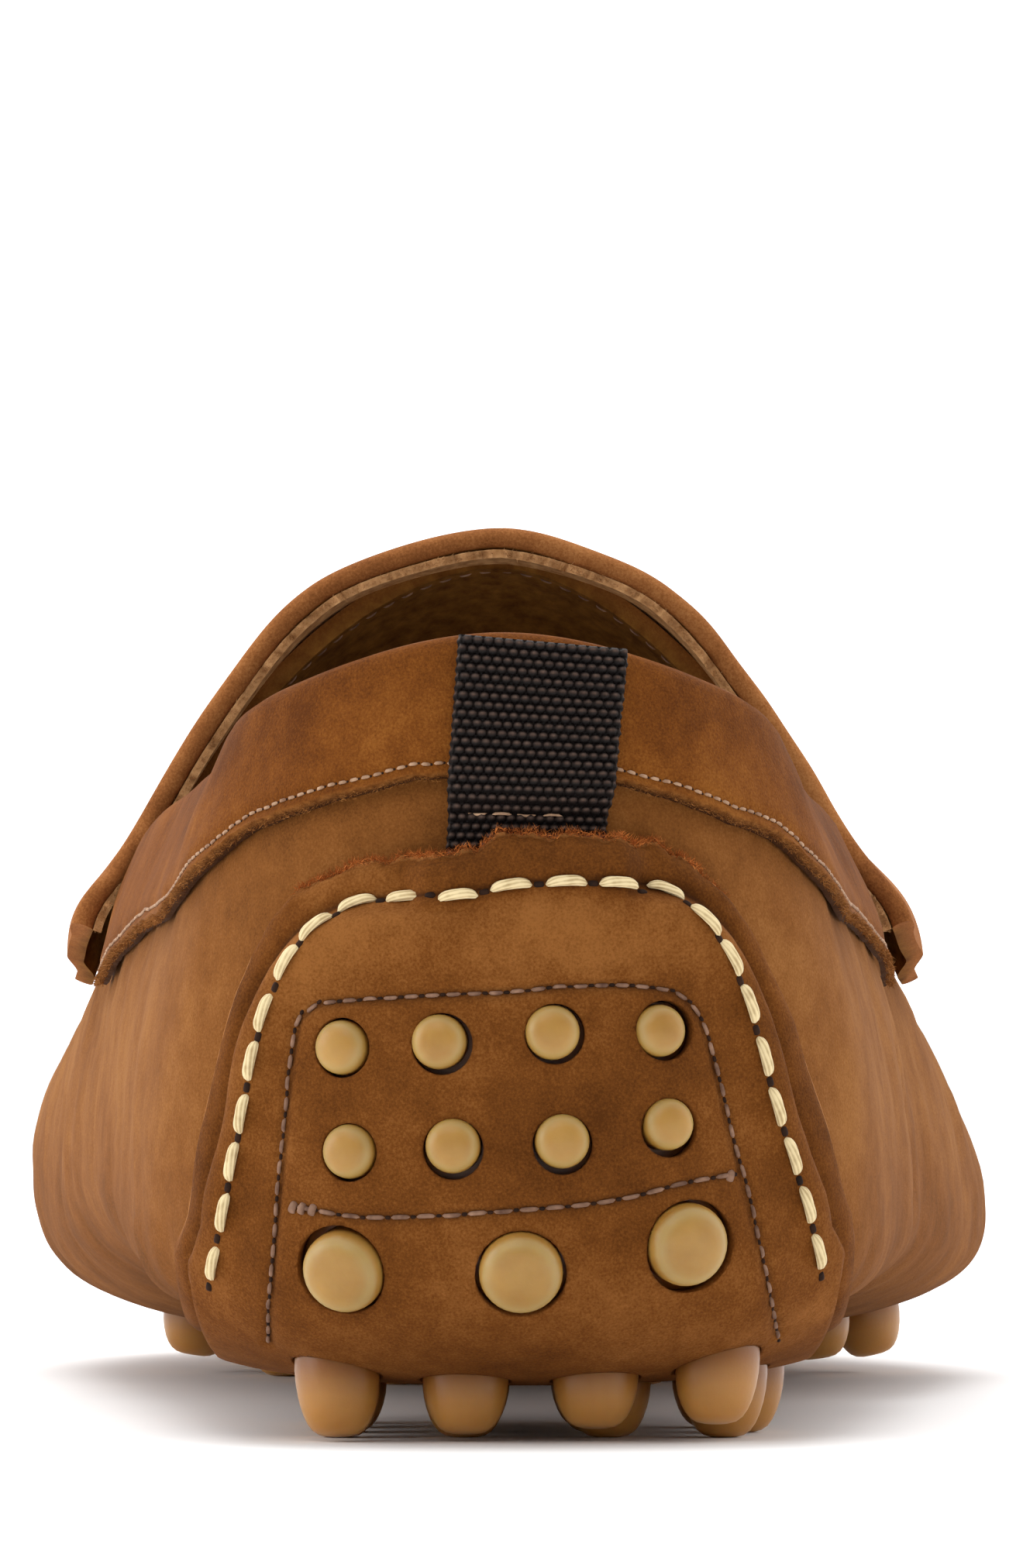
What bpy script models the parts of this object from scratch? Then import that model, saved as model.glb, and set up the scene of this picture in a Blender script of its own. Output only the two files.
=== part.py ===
"""Driving moccasin, right shoe, +Y to the toe, +X to the outer side, standing on z = 0."""

import math

import bmesh
import bpy
import numpy as np
from mathutils import Vector
from mathutils.bvhtree import BVHTree

MM = 0.001

# Driving sizes, in millimetres
LENGTH = 284.0
BALL_WIDTH = 100.0
INSTEP_HEIGHT = 82.0
HEEL_HEIGHT = 70.3

# Thicknesses and clearances
WALL = 1.8
GAP = 0.3
BAND_THICK = 1.4
STRAP_THICK = 1.8
FLAP_THICK = 1.6
RUBBER_THICK = 1.0
# Between the layers on the heel, whose facets curve both ways
HEEL_GAP = 0.45
FLAP_GAP = 0.65
WEBBING_THICK = 1.2
INSOLE_THICK = 2.5

# Where the shoe's own frame starts: its box is centred on x = 0, y = 0
CENTRE_X = -1.0
CENTRE_Y = 140.6

# The last, one row for each rib from the heel back round to the toe tip. Every rib starts on the
# spine: base_y is in percent of the length, base_x in percent of the half ball width. turn is the
# rib's direction in plan, in degrees from straight back. keel is the height of the bottom, crown
# is in percent of the instep height. edge, the top of the side wall, and band, the lower edge of
# the collar band, are in percent of the heel height. out is the outer side and in the inner side:
# wide is in percent of the half ball width, rise is the height of the widest point, and top and
# low are how square the rib is above and below it, where 2 is an ellipse.
RIB_COLUMNS = ("name", "base_y", "base_x", "turn", "keel", "crown", "edge", "band",
               "out_wide", "in_wide", "out_rise", "in_rise", "out_top", "in_top", "out_low", "in_low")
RIBS = (
    ("heel_back", 12.0, 0.0, 0, 8.3, 155, 100, 83, 63.0, 63.0, 26.0, 26.0, 2.00, 2.00, 3.8, 3.8),
    ("heel_corner", 12.0, 0.0, 42, 8.3, 120, 94, 77.5, 64.0, 64.0, 24.0, 24.0, 2.00, 2.00, 3.7, 3.7),
    ("heel_side", 14.1, 0.0, 78, 8.3, 95, 87, 66.5, 67.0, 67.0, 21.5, 22.0, 1.95, 2.00, 3.5, 3.5),
    ("heel_front", 21.8, 0.0, 90, 8.3, 93, 83, 64.5, 71.5, 72.0, 20.5, 22.0, 1.92, 2.03, 3.2, 3.0),
    ("waist", 30.3, 0.0, 90, 8.6, 96, 80, 60.5, 77.0, 78.0, 20.0, 23.0, 1.85, 1.98, 2.9, 2.6),
    ("throat", 38.0, -0.6, 90, 8.0, 101.5, 76, 56.5, 79.2, 81.5, 19.5, 23.5, 1.73, 1.80, 2.8, 2.6),
    ("strap_front", 45.8, 0.0, 90, 6.2, 90, 63.5, 52, 86.5, 88.5, 18.5, 23.0, 1.80, 1.85, 2.8, 2.7),
    ("ball_back", 54.6, -0.6, 90, 4.7, 79, 62, 50, 94.0, 92.0, 17.8, 22.5, 1.78, 1.92, 2.9, 3.2),
    ("ball", 63.4, -2.0, 90, 4.6, 70, 61, 50, 100.0, 96.4, 17.5, 22.0, 1.76, 1.92, 2.9, 3.4),
    ("ball_front", 72.2, -5.0, 90, 4.6, 63, 60, 50, 98.6, 95.8, 18.0, 22.0, 1.85, 1.95, 2.9, 3.2),
    ("toe_side", 79.6, -9.6, 100, 4.9, 58, 58.5, 50, 89.0, 86.0, 20.0, 22.0, 2.05, 2.10, 2.8, 2.9),
    ("toe_corner", 81.0, -10.0, 130, 5.1, 57, 57.0, 50, 84.0, 87.0, 22.0, 22.5, 2.20, 2.20, 2.6, 2.6),
    ("toe_front", 81.3, -10.0, 156, 5.2, 57, 56.5, 50, 96.0, 99.0, 23.5, 23.5, 2.25, 2.25, 2.45, 2.5),
    ("toe_tip", 81.3, -10.0, 180, 5.2, 57, 56.0, 50, 106.0, 106.0, 24.0, 24.0, 2.25, 2.25, 2.4, 2.4),
)
# The whole shoe leans this far to the inner side at instep height
LEAN = 1.2


def rib_table():
    """The ribs once round the shoe, up the outer side and back down the inner side."""
    rows = [dict(zip(RIB_COLUMNS, row)) for row in RIBS]
    last = len(rows) - 1
    outer = [(row, "out", 1) for row in rows]
    inner = [(rows[i], "in", -1) for i in range(last - 1, 0, -1)]
    half = BALL_WIDTH / 2
    table = {name: [] for name in ("base_y", "base_x", "turn", "keel", "crown", "edge", "band",
                                   "top", "wide", "rise", "low")}
    for row, side, sign in outer + inner:
        table["base_y"].append(row["base_y"] / 100 * LENGTH)
        table["base_x"].append(row["base_x"] / 100 * half)
        table["turn"].append(row["turn"] if sign > 0 else 360 - row["turn"])
        table["keel"].append(row["keel"])
        table["crown"].append(row["crown"] / 100 * INSTEP_HEIGHT)
        table["edge"].append(row["edge"] / 100 * HEEL_HEIGHT)
        table["band"].append(row["band"] / 100 * HEEL_HEIGHT)
        table["top"].append(row[side + "_top"])
        table["wide"].append(row[side + "_wide"] / 100 * half)
        table["rise"].append(row[side + "_rise"])
        table["low"].append(row[side + "_low"])
    return {name: np.array(values, float) for name, values in table.items()}


RIB = rib_table()
RIB_COUNT = len(RIB["turn"])
TOE_TIP = len(RIBS) - 1


def along(name, u):
    """One column of the rib table as a smooth closed curve; u counts ribs."""
    values = RIB[name]
    full_turn = 360 if name == "turn" else 0
    first = np.floor(u).astype(int)
    t = u - first
    a, b, c, d = (values[(first + k) % RIB_COUNT] + full_turn * ((first + k) // RIB_COUNT)
                  for k in (-1, 0, 1, 2))
    return 0.5 * (2 * b + (c - a) * t + (2 * a - 5 * b + 4 * c - d) * t ** 2
                  + (3 * b - a - 3 * c + d) * t ** 3)


def place(u, phi):
    """Point of the last at rib u; phi is -90 degrees at the keel, 0 at the widest, 90 on top."""
    rise = along("rise", u)
    square = np.where(phi < 0, along("low", u), along("top", u))
    tall = np.where(phi < 0, rise - along("keel", u), along("crown", u) - rise)
    cos, sin = np.abs(np.cos(phi)), np.abs(np.sin(phi))
    reach = (cos ** square + sin ** square) ** (-1 / square)
    out = along("wide", u) * reach * cos
    turn = np.radians(along("turn", u))
    height = rise + np.sign(phi) * tall * reach * sin
    return np.stack([along("base_x", u) + out * np.sin(turn) - LEAN * height / INSTEP_HEIGHT,
                     along("base_y", u) - out * np.cos(turn),
                     height], axis=-1)


def normal(u, phi):
    step = 0.004
    across = place(u + step, phi) - place(u - step, phi)
    upward = place(u, phi + step) - place(u, phi - step)
    out = np.cross(across, upward)
    return out / np.linalg.norm(out, axis=-1, keepdims=True)


def skin(u, phi, lift=0.0):
    """The last's surface, moved out along its normal by lift."""
    u, phi = np.broadcast_arrays(np.asarray(u, float), np.asarray(phi, float))
    return place(u, phi) + normal(u, phi) * np.asarray(lift)[..., None]


def phi_at_height(u, height):
    """The angle up the rib at which the last reaches a height above the widest point."""
    u = np.asarray(u, float)
    rise, top = along("rise", u), along("top", u)
    share = (height - rise) / (along("crown", u) - rise)
    return np.arctan((share ** -top - 1) ** (-1 / top))


def smooth_step(value, low, high):
    t = np.clip((np.asarray(value, float) - low) / (high - low), 0, 1)
    return t * t * (3 - 2 * t)


def new_object(name, points, faces):
    """One object from points in millimetres, with all its faces turned outwards."""
    mesh = bpy.data.meshes.new(name)
    shifted = np.asarray(points, float) - (CENTRE_X, CENTRE_Y, 0)
    mesh.from_pydata([tuple(p) for p in shifted * MM], [], faces)
    shape = bmesh.new()
    shape.from_mesh(mesh)
    bmesh.ops.recalc_face_normals(shape, faces=shape.faces)
    shape.to_mesh(mesh)
    shape.free()
    mesh.shade_smooth()
    mesh.set_sharp_from_angle(angle=math.radians(40))
    thing = bpy.data.objects.new(name, mesh)
    bpy.context.scene.collection.objects.link(thing)
    return thing


def wall_between(name, outer, inner, closed=False, laddered=False):
    """A solid between two grids of points [column, row].

    closed joins the last column to the first. laddered fills row 0 straight across, each
    column to its twin on the other side of the shoe; otherwise row 0 is an open edge.
    """
    columns, rows = outer.shape[:2]
    points = np.concatenate([outer.reshape(-1, 3), inner.reshape(-1, 3)])
    shift = columns * rows

    def at(i, j, side=0):
        return (i % columns) * rows + j + side * shift

    def twin(i):
        return (columns - i) % columns if closed else columns - 1 - i

    faces = []
    for i in range(columns if closed else columns - 1):
        for j in range(rows - 1):
            for side in (0, 1):
                faces.append([at(i, j, side), at(i + 1, j, side),
                              at(i + 1, j + 1, side), at(i, j + 1, side)])
        rims = (rows - 1,) if laddered else (0, rows - 1)
        for j in rims:
            faces.append([at(i, j), at(i + 1, j), at(i + 1, j, 1), at(i, j, 1)])
    if not closed:
        for i in (0, columns - 1):
            for j in range(rows - 1):
                faces.append([at(i, j), at(i, j + 1), at(i, j + 1, 1), at(i, j, 1)])
    if laddered:
        for i in range(columns // 2):
            for side in (0, 1):
                rung = [at(k, 0, side) for k in (i, i + 1, twin(i + 1), twin(i))]
                faces.append(list(dict.fromkeys(rung)))
        if not closed:
            faces.append([at(0, 0), at(twin(0), 0), at(twin(0), 0, 1), at(0, 0, 1)])
    return new_object(name, points, faces)


# How finely the last is cut up to lay pieces on it
TREE_COLUMNS = 10 * RIB_COUNT
TREE_ROWS = 70
TREE_ANGLE = 86


def last_tree():
    """The last as a fine mesh to lay pieces on, with the rib and angle of each of its faces."""
    ribs = np.linspace(0, RIB_COUNT, TREE_COLUMNS, endpoint=False)
    angles = np.radians(np.linspace(-TREE_ANGLE, TREE_ANGLE, TREE_ROWS))
    grid = place(*np.meshgrid(ribs, angles, indexing="ij"))
    columns, rows = grid.shape[:2]
    faces = [(i * rows + j, (i + 1) % columns * rows + j,
              (i + 1) % columns * rows + j + 1, i * rows + j + 1)
             for i in range(columns) for j in range(rows - 1)]
    keys = [(ribs[i], angles[j]) for i in range(columns) for j in range(rows - 1)]
    for i in range(1, columns // 2 - 1):
        faces.append([k * rows for k in (i, i + 1, columns - i - 1, columns - i)])
        keys.append((ribs[i], angles[0]))
    return BVHTree.FromPolygons([tuple(p) for p in grid.reshape(-1, 3)], faces), keys


LAST_TREE, LAST_KEYS = last_tree()


def drape(start, direction):
    """Where a ray meets the last, and the last's outward normal there."""
    hit, _, face, _ = LAST_TREE.ray_cast(Vector(start), Vector(direction).normalized())
    rib, angle = LAST_KEYS[face]
    return np.array(hit), normal(np.array(rib), np.array(angle))


# The bottom of the upper is flat inside this angle
KEEL_ANGLE = -76
LOW_ANGLES = (KEEL_ANGLE, -58, -48, -38, -22)


def rib_columns(first, last_rib=TOE_TIP):
    """Rib positions up one side of the shoe: closer together round the heel."""
    heel = [step * 0.5 for step in range(4)]
    rest = [step * 0.5 for step in range(4, 2 * last_rib + 1)]
    return [u for u in heel + rest if u >= first]


def both_sides(side):
    """Positions up the outer side, then back down the inner side."""
    return np.array(side + [RIB_COUNT - u for u in side[-2::-1]])


# The raised seam round the toes, where the strap ends and the apron begins
LIP_HEIGHT = 1.6
LIP_WIDTH = 1.7
LIP_FOOT = 2.8
SEAM_START_Y = 132
SEAM_FULL_Y = 144


def lip_rise(u):
    """How far the seam's lips stand up at a rib: nothing behind the strap."""
    return LIP_HEIGHT * smooth_step(along("base_y", u), SEAM_START_Y, SEAM_FULL_Y)


def angle_per_mm(u, phi):
    step = 0.01
    run = np.linalg.norm(place(u, phi + step) - place(u, phi - step), axis=-1) / (2 * step)
    return 1 / run


def make_upper():
    """Bottom, sides and heel in one wall, with the outer lip of the raised seam."""
    u = both_sides(rib_columns(0))[:-1]
    edge = phi_at_height(u, along("edge", u))
    per_mm = angle_per_mm(u, edge)
    foot = edge - LIP_FOOT * per_mm
    angles = [np.full_like(u, row) for row in np.radians(LOW_ANGLES)]
    angles += [foot * share for share in (0, 0.3, 0.6, 1)]
    lifts = [np.zeros_like(u)] * len(angles)
    angles += [edge - LIP_WIDTH * per_mm, edge - GAP / 2 * per_mm]
    lifts += [lip_rise(u)] * 2
    angles = np.stack(angles, axis=1)
    lifts = np.stack(lifts, axis=1)
    columns = u[:, None]
    return wall_between("upper", skin(columns, angles, lifts),
                        skin(columns, angles, np.full_like(lifts, -WALL)),
                        closed=True, laddered=True)


# The apron runs back to this rib, under the strap
APRON_RIB = 5.15
APRON_TOP_ANGLE = 84


def make_apron():
    """The plug over the toes, from the tongue end to the raised seam."""
    u = both_sides([APRON_RIB] + rib_columns(APRON_RIB))
    edge = phi_at_height(u, along("edge", u))
    per_mm = angle_per_mm(u, edge)
    top = np.radians(APRON_TOP_ANGLE)
    foot = edge + LIP_FOOT * per_mm
    angles = [np.full_like(u, top)]
    angles += [top + (foot - top) * share for share in (0.27, 0.54, 0.8, 1)]
    lifts = [np.zeros_like(u)] * len(angles)
    angles += [edge + LIP_WIDTH * per_mm, edge + GAP / 2 * per_mm]
    lifts += [lip_rise(u)] * 2
    angles = np.stack(angles, axis=1)
    lifts = np.stack(lifts, axis=1)
    columns = u[:, None]
    return wall_between("apron", skin(columns, angles, lifts),
                        skin(columns, angles, np.full_like(lifts, -WALL)), laddered=True)


# The collar band ends at this rib, just behind the strap's back edge
BAND_RIB = 4.985


def make_collar_band():
    """The strip round the topline, outside the upper, from one side of the strap to the other."""
    side = [u for u in rib_columns(0) if u < BAND_RIB] + [BAND_RIB]
    u = np.array([-u for u in side[:0:-1]] + side)
    top = phi_at_height(u, along("edge", u))
    bottom = phi_at_height(u, along("band", u))
    angles = np.stack([bottom + (top - bottom) * share for share in np.linspace(0, 1, 4)], axis=1)
    columns = u[:, None]
    inside = np.full_like(angles, GAP)
    return wall_between("collar_band", skin(columns, angles, inside + BAND_THICK),
                        skin(columns, angles, inside))


# The strap over the instep: its two edges in ribs, and how its ends stand off the sides
STRAP_RIBS = (5.0, 5.25, 5.5, 5.75, 6.05)
STRAP_END_HEIGHT = 40.5
STRAP_WING_HEIGHT = 45.5
STRAP_WING = 2.6
STRAP_WING_SPREAD = 5.75
STRAP_WING_END_Y = (122, 128)
# Clear of the raised seam's corner
STRAP_GAP = GAP + 0.1


def strap_lift(u, phi):
    """How far the strap's inside stands off the last."""
    height = place(u, phi)[..., 2]
    at_back = 1 - smooth_step(along("base_y", u), *STRAP_WING_END_Y)
    wing = np.exp(-((height - STRAP_WING_HEIGHT) / STRAP_WING_SPREAD) ** 2)
    return STRAP_GAP + STRAP_WING * wing * at_back


# Angles up each side of the strap, above the three rows that climb to them from its end
STRAP_ANGLES = (34, 44, 54, 64, 75, 86)
STRAP_CLIMB = np.array([0, 0.33, 0.67])


def make_saddle_strap():
    rows = np.radians(STRAP_ANGLES)
    outer, inner = [], []
    for rib in STRAP_RIBS:
        path = []
        for u, order in ((rib, 1), (RIB_COUNT - rib, -1)):
            end = float(phi_at_height(np.array(u), STRAP_END_HEIGHT))
            climb = np.concatenate([end + (rows[0] - end) * STRAP_CLIMB, rows])
            path += [(u, phi) for phi in climb][::order]
        path = np.array(path)
        lift = strap_lift(path[:, 0], path[:, 1])
        inner.append(skin(path[:, 0], path[:, 1], lift))
        outer.append(skin(path[:, 0], path[:, 1], lift + STRAP_THICK))
    return wall_between("saddle_strap", np.array(outer), np.array(inner))


# The heel flap: half widths at heights up the back of the heel
FLAP_COLUMNS = ("height", "inner", "outer")
FLAP = (
    (12.7, 29.2, 29.6),
    (20.0, 28.3, 29.0),
    (30.0, 26.4, 26.2),
    (37.0, 24.5, 23.9),
    (44.0, 21.7, 20.6),
    (46.4, 20.0, 19.1),
    (48.5, 17.9, 17.6),
    (50.6, 14.4, 14.6),
    (52.0, 10.8, 12.0),
)
# Under the heel: half width, front edge, and how far it draws in towards that edge
FLAP_UNDER_HALF = 29.2
FLAP_FRONT_Y = 72.0
FLAP_DRAWN_IN = 4.0
FLAP_DRAW_LENGTH = 14.0
# It lies low along its margin, stands over the rubber inside that, and clears the pull loop
FLAP_MARGIN = 2.6
FLAP_PUFFED = 5.4
FLAP_PUFF = RUBBER_THICK + FLAP_GAP
WEBBING_HALF = 6.8
WEBBING_LOW = 40.0
WEBBING_X = 0.93
WEBBING_SLOPE = 0.07
WEBBING_EASE = (1.2, 3.5)

# Rays that lay a piece on the heel start on this line inside it
HEEL_LINE_Y = 26.0
HEEL_LINE_HEIGHT = 20.0
# The skin behind the line, at pebble height
HEEL_SKIN_Y = 6.0


def heel_ray(x, part, value):
    """A ray to the heel: part is under (value y), corner (value degrees) or back (value z)."""
    if part == "under":
        return (x, value, HEEL_LINE_HEIGHT), (0, 0, -1)
    if part == "corner":
        angle = math.radians(value)
        return (x, HEEL_LINE_Y, HEEL_LINE_HEIGHT), (0, -math.sin(angle), -math.cos(angle))
    return (x, HEEL_LINE_Y, value), (0, -1, 0)


def flap_half(part, value, side):
    """Half width of the flap on one side, at a row of heel rays."""
    heights = [row[0] for row in FLAP]
    widths = [row[FLAP_COLUMNS.index(side)] for row in FLAP]
    if part == "back":
        return float(np.interp(value, heights, widths))
    if part == "corner":
        share = float(smooth_step(value, 0, 90))
        return FLAP_UNDER_HALF + (widths[0] - FLAP_UNDER_HALF) * share
    drawn = float(smooth_step(value, FLAP_FRONT_Y - FLAP_DRAW_LENGTH, FLAP_FRONT_Y))
    return FLAP_UNDER_HALF - FLAP_DRAWN_IN * drawn


def webbing_centre(height):
    """The pull loop leans to the outer side as it rises from the flap."""
    return WEBBING_X + (height - FLAP[-1][0]) * WEBBING_SLOPE


def flap_lift(x, half, part, value):
    """How far the flap's inside stands off the last: low at its edges, high over the rubber."""
    inset = half - abs(x)
    if part == "back":
        inset = min(inset, FLAP[-1][0] - value)
    if part == "under":
        inset = min(inset, FLAP_FRONT_Y - value)
    puff = float(smooth_step(inset, FLAP_MARGIN, FLAP_PUFFED))
    if part == "back" and value > WEBBING_LOW:
        beside = abs(x - webbing_centre(value)) - WEBBING_HALF
        puff = max(puff, 1 - float(smooth_step(beside, *WEBBING_EASE)))
    return HEEL_GAP + FLAP_PUFF * puff


def heel_sheet(name, rows, shares, half_of, lift_of, thick):
    """A solid laid on the heel. rows are heel rays, shares run across from -1 to 1."""
    outer, inner = [], []
    for share in shares:
        side = "outer" if share > 0 else "inner"
        near, far = [], []
        for part, value in rows:
            half = half_of(part, value, side)
            x = share * half
            point, out = drape(*heel_ray(x, part, value))
            lift = lift_of(x, half, part, value)
            near.append(point + out * lift)
            far.append(point + out * (lift + thick))
        inner.append(near)
        outer.append(far)
    return wall_between(name, np.array(outer), np.array(inner))


HEEL_CORNER_ANGLES = (15, 30, 39, 47, 55, 63, 74, 90)
FLAP_ROWS = ([("under", y) for y in (72, 69, 66, 56, 47, 39, 32, 26)]
             + [("corner", a) for a in HEEL_CORNER_ANGLES]
             + [("back", z) for z in (26, 32, 38, 42, 45.6, 48.8, 50.6, 52)])
FLAP_SHARES = (-1, -0.9, -0.8, -0.53, -0.26, 0, 0.26, 0.53, 0.8, 0.9, 1)


# Rubber sheet under the flap: its half widths under the heel and up the back
HEEL_RUBBER_TOP = 38.5
HEEL_RUBBER_FRONT = 64.0
HEEL_RUBBER_UNDER = ((HEEL_RUBBER_FRONT, 18.5), (48.0, 23.0), (HEEL_LINE_Y, 23.0))
HEEL_RUBBER_BACK = ((HEEL_LINE_HEIGHT, 20.5), (HEEL_RUBBER_TOP, 16.5))


def heel_rubber_half(part, value, _side):
    under = sorted(HEEL_RUBBER_UNDER)
    if part == "under":
        return float(np.interp(value, *zip(*under)))
    if part == "corner":
        return float(np.interp(value, (0, 90), (under[0][1], HEEL_RUBBER_BACK[0][1])))
    return float(np.interp(value, *zip(*HEEL_RUBBER_BACK)))


HEEL_RUBBER_ROWS = ([("under", y) for y in (64, 52, 39, 26)]
                    + [("corner", a) for a in HEEL_CORNER_ANGLES]
                    + [("back", z) for z in (26, 32.5, 38.5)])
HEEL_RUBBER_SHARES = (-1, -0.75, -0.5, -0.25, 0, 0.25, 0.5, 0.75, 1)

# Pebbles up the back of the heel as seen from behind: x, height, radius, how far they stand out of
# the flap. The rows climb a little to the outer side.
BACK_PEBBLES = (
    (-13.7, 34.6, 2.3, 1.3), (-6.1, 35.1, 2.3, 1.3), (3.0, 35.9, 2.3, 1.3), (11.4, 36.0, 2.2, 1.3),
    (-13.1, 25.7, 2.3, 1.3), (-5.0, 26.2, 2.3, 1.3), (3.8, 26.6, 2.3, 1.3), (12.1, 28.0, 2.2, 1.3),
    (-13.6, 16.4, 3.5, 1.8), (0.5, 16.8, 3.5, 1.8), (13.6, 18.2, 3.5, 1.8),
)
# The row on the corner of the heel: x and the height of its tip
CORNER_PEBBLES = ((-15.5, 0.5), (-4.3, 0.7), (7.1, 1.2), (17.7, 1.6))
CORNER_PEBBLE_Y = 15.5
CORNER_PEBBLE_LEAN = 8
# The rows under the heel: y, and x of each
UNDER_PEBBLES = (
    (24.0, (-15.6, -4.4, 8.3, 18.6)), (35.0, (-15.2, -4.2, 7.4, 20.4)),
    (46.0, (-15.6, -4.5, 7.0, 18.0)), (56.0, (-15.6, -4.6, 7.0)),
)
UNDER_RADIUS = 3.6
PEBBLE_SIDES = 7
PEBBLE_TAPER = 0.78
HOLE_CLEAR = 0.35

# The pebbles under the forefoot, in rows across: y, x of the first and the last, and how many
FORE_PEBBLES = (
    (154.0, -12.0, 13.0, 3), (166.0, -20.0, 20.0, 4), (178.0, -23.8, 31.0, 6),
    (190.0, -33.0, 36.5, 7), (202.0, -24.0, 30.0, 6), (214.0, -26.0, 21.0, 5),
    (226.0, -22.0, 14.0, 4), (238.0, -17.0, 8.0, 3),
)
# Outline of the forefoot rubber: y, then how far it reaches to the inner and the outer side
FORE_RUBBER = (
    (146.0, 15.0, 17.0), (154.0, 23.0, 24.0), (164.0, 31.5, 31.5),
    (177.0, 38.0, 38.5), (190.0, 41.0, 42.0), (203.0, 39.5, 37.0), (216.0, 36.5, 32.0),
    (228.0, 31.0, 25.0), (238.0, 25.0, 18.0), (245.0, 18.0, 11.0),
)
FORE_SHARES = (-1, -0.92, -0.83, -0.62, -0.3, 0, 0.3, 0.62, 0.83, 0.92, 1)
FORE_GAP = 0.4
# A pebble stands upright where the bottom is flatter than this, in degrees
UPRIGHT_TILT = 7.5
# The others lean outwards and stay this far off the floor
EDGE_TIP_HEIGHT = 1.8


def ring(centre, axis, radius):
    """Points of a ring square to an axis, starting on the side nearest +X."""
    axis = np.array(axis, float) / np.linalg.norm(axis)
    first = np.array((1.0, 0, 0)) - axis * axis[0]
    first /= np.linalg.norm(first)
    second = np.cross(axis, first)
    turns = 2 * np.pi * np.arange(PEBBLE_SIDES) / PEBBLE_SIDES
    return [centre + radius * (first * np.cos(t) + second * np.sin(t)) for t in turns]


def add_stub(points, faces, root, root_axis, tip, tip_axis, root_radius, tip_radius):
    """A pebble or a hole: a closed taper from a ring on the skin to a flat tip."""
    start = len(points)
    n = PEBBLE_SIDES
    points += ring(root, root_axis, root_radius) + ring(tip, tip_axis, tip_radius)
    faces.append([start + k for k in range(n)])
    faces.append([start + n + k for k in range(n)])
    faces += [[start + k, start + (k + 1) % n, start + n + (k + 1) % n, start + n + k]
              for k in range(n)]


def back_ray(x, height):
    """The ray to the heel's back at a height: below the heel line it points down to it."""
    if height > HEEL_LINE_HEIGHT:
        return heel_ray(x, "back", height)
    drop = math.atan2(HEEL_LINE_HEIGHT - height, HEEL_LINE_Y - HEEL_SKIN_Y)
    return heel_ray(x, "corner", 90 - math.degrees(drop))


def heel_pebbles():
    """Each pebble of the heel: point and normal on the last, tip, tip axis and radius."""
    for x, height, radius, stand in BACK_PEBBLES:
        point, out = drape(*back_ray(x, height))
        tip = point + out * (HEEL_GAP + FLAP_PUFF + FLAP_THICK + stand)
        yield point, out, tip, out, radius
    lean = math.radians(CORNER_PEBBLE_LEAN)
    for x, tip_height in CORNER_PEBBLES:
        point, out = drape((x, CORNER_PEBBLE_Y, HEEL_LINE_HEIGHT), (0, 0, -1))
        axis = np.array((0, -math.sin(lean), -math.cos(lean)))
        tip = point + axis * (point[2] - tip_height) / math.cos(lean)
        yield point, out, tip, axis, UNDER_RADIUS
    for y, row in UNDER_PEBBLES:
        for x in row:
            point, out = drape((x, y, HEEL_LINE_HEIGHT), (0, 0, -1))
            yield point, out, np.array((point[0], point[1], 0)), (0, 0, -1), UNDER_RADIUS


def fore_pebbles():
    """Each pebble of the forefoot, in the same terms."""
    for y, first, last, count in FORE_PEBBLES:
        for x in np.linspace(first, last, count):
            point, out = drape((x, y, HEEL_LINE_HEIGHT), (0, 0, -1))
            if out[2] < -math.cos(math.radians(UPRIGHT_TILT)):
                tip, axis = np.array((point[0], point[1], 0)), (0, 0, -1)
            else:
                tip, axis = point - out * (point[2] - EDGE_TIP_HEIGHT) / out[2], out
            yield point, out, tip, axis, UNDER_RADIUS


def stubs(name, pebbles, root_lift, grow=0.0, reach=0.0):
    """All the pebbles of one rubber, or with grow their holes, as one helper object."""
    points, faces = [], []
    for point, out, tip, axis, radius in pebbles:
        tip = tip + np.array(axis) * reach
        add_stub(points, faces, point + out * root_lift, out, tip, axis,
                 radius + grow, radius * PEBBLE_TAPER + grow)
    helper = new_object(name, points, faces)
    helper.hide_render = True
    helper.display_type = "WIRE"
    return helper


def combine(thing, helper, operation):
    boolean = thing.modifiers.new(helper.name, "BOOLEAN")
    boolean.operation = operation
    boolean.solver = "EXACT"
    boolean.object = helper


def make_heel():
    """The rubber on the back and bottom of the heel, and the flap over it."""
    flap = heel_sheet("heel_flap", FLAP_ROWS, FLAP_SHARES, flap_half, flap_lift, FLAP_THICK)
    rubber = heel_sheet("heel_rubber", HEEL_RUBBER_ROWS, HEEL_RUBBER_SHARES, heel_rubber_half,
                        lambda *_: HEEL_GAP, RUBBER_THICK)
    root = HEEL_GAP + RUBBER_THICK * 0.5
    combine(rubber, stubs("heel_pebbles", heel_pebbles(), root), "UNION")
    combine(flap, stubs("heel_holes", heel_pebbles(), root, HOLE_CLEAR, 1.0), "DIFFERENCE")
    return flap, rubber


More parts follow.
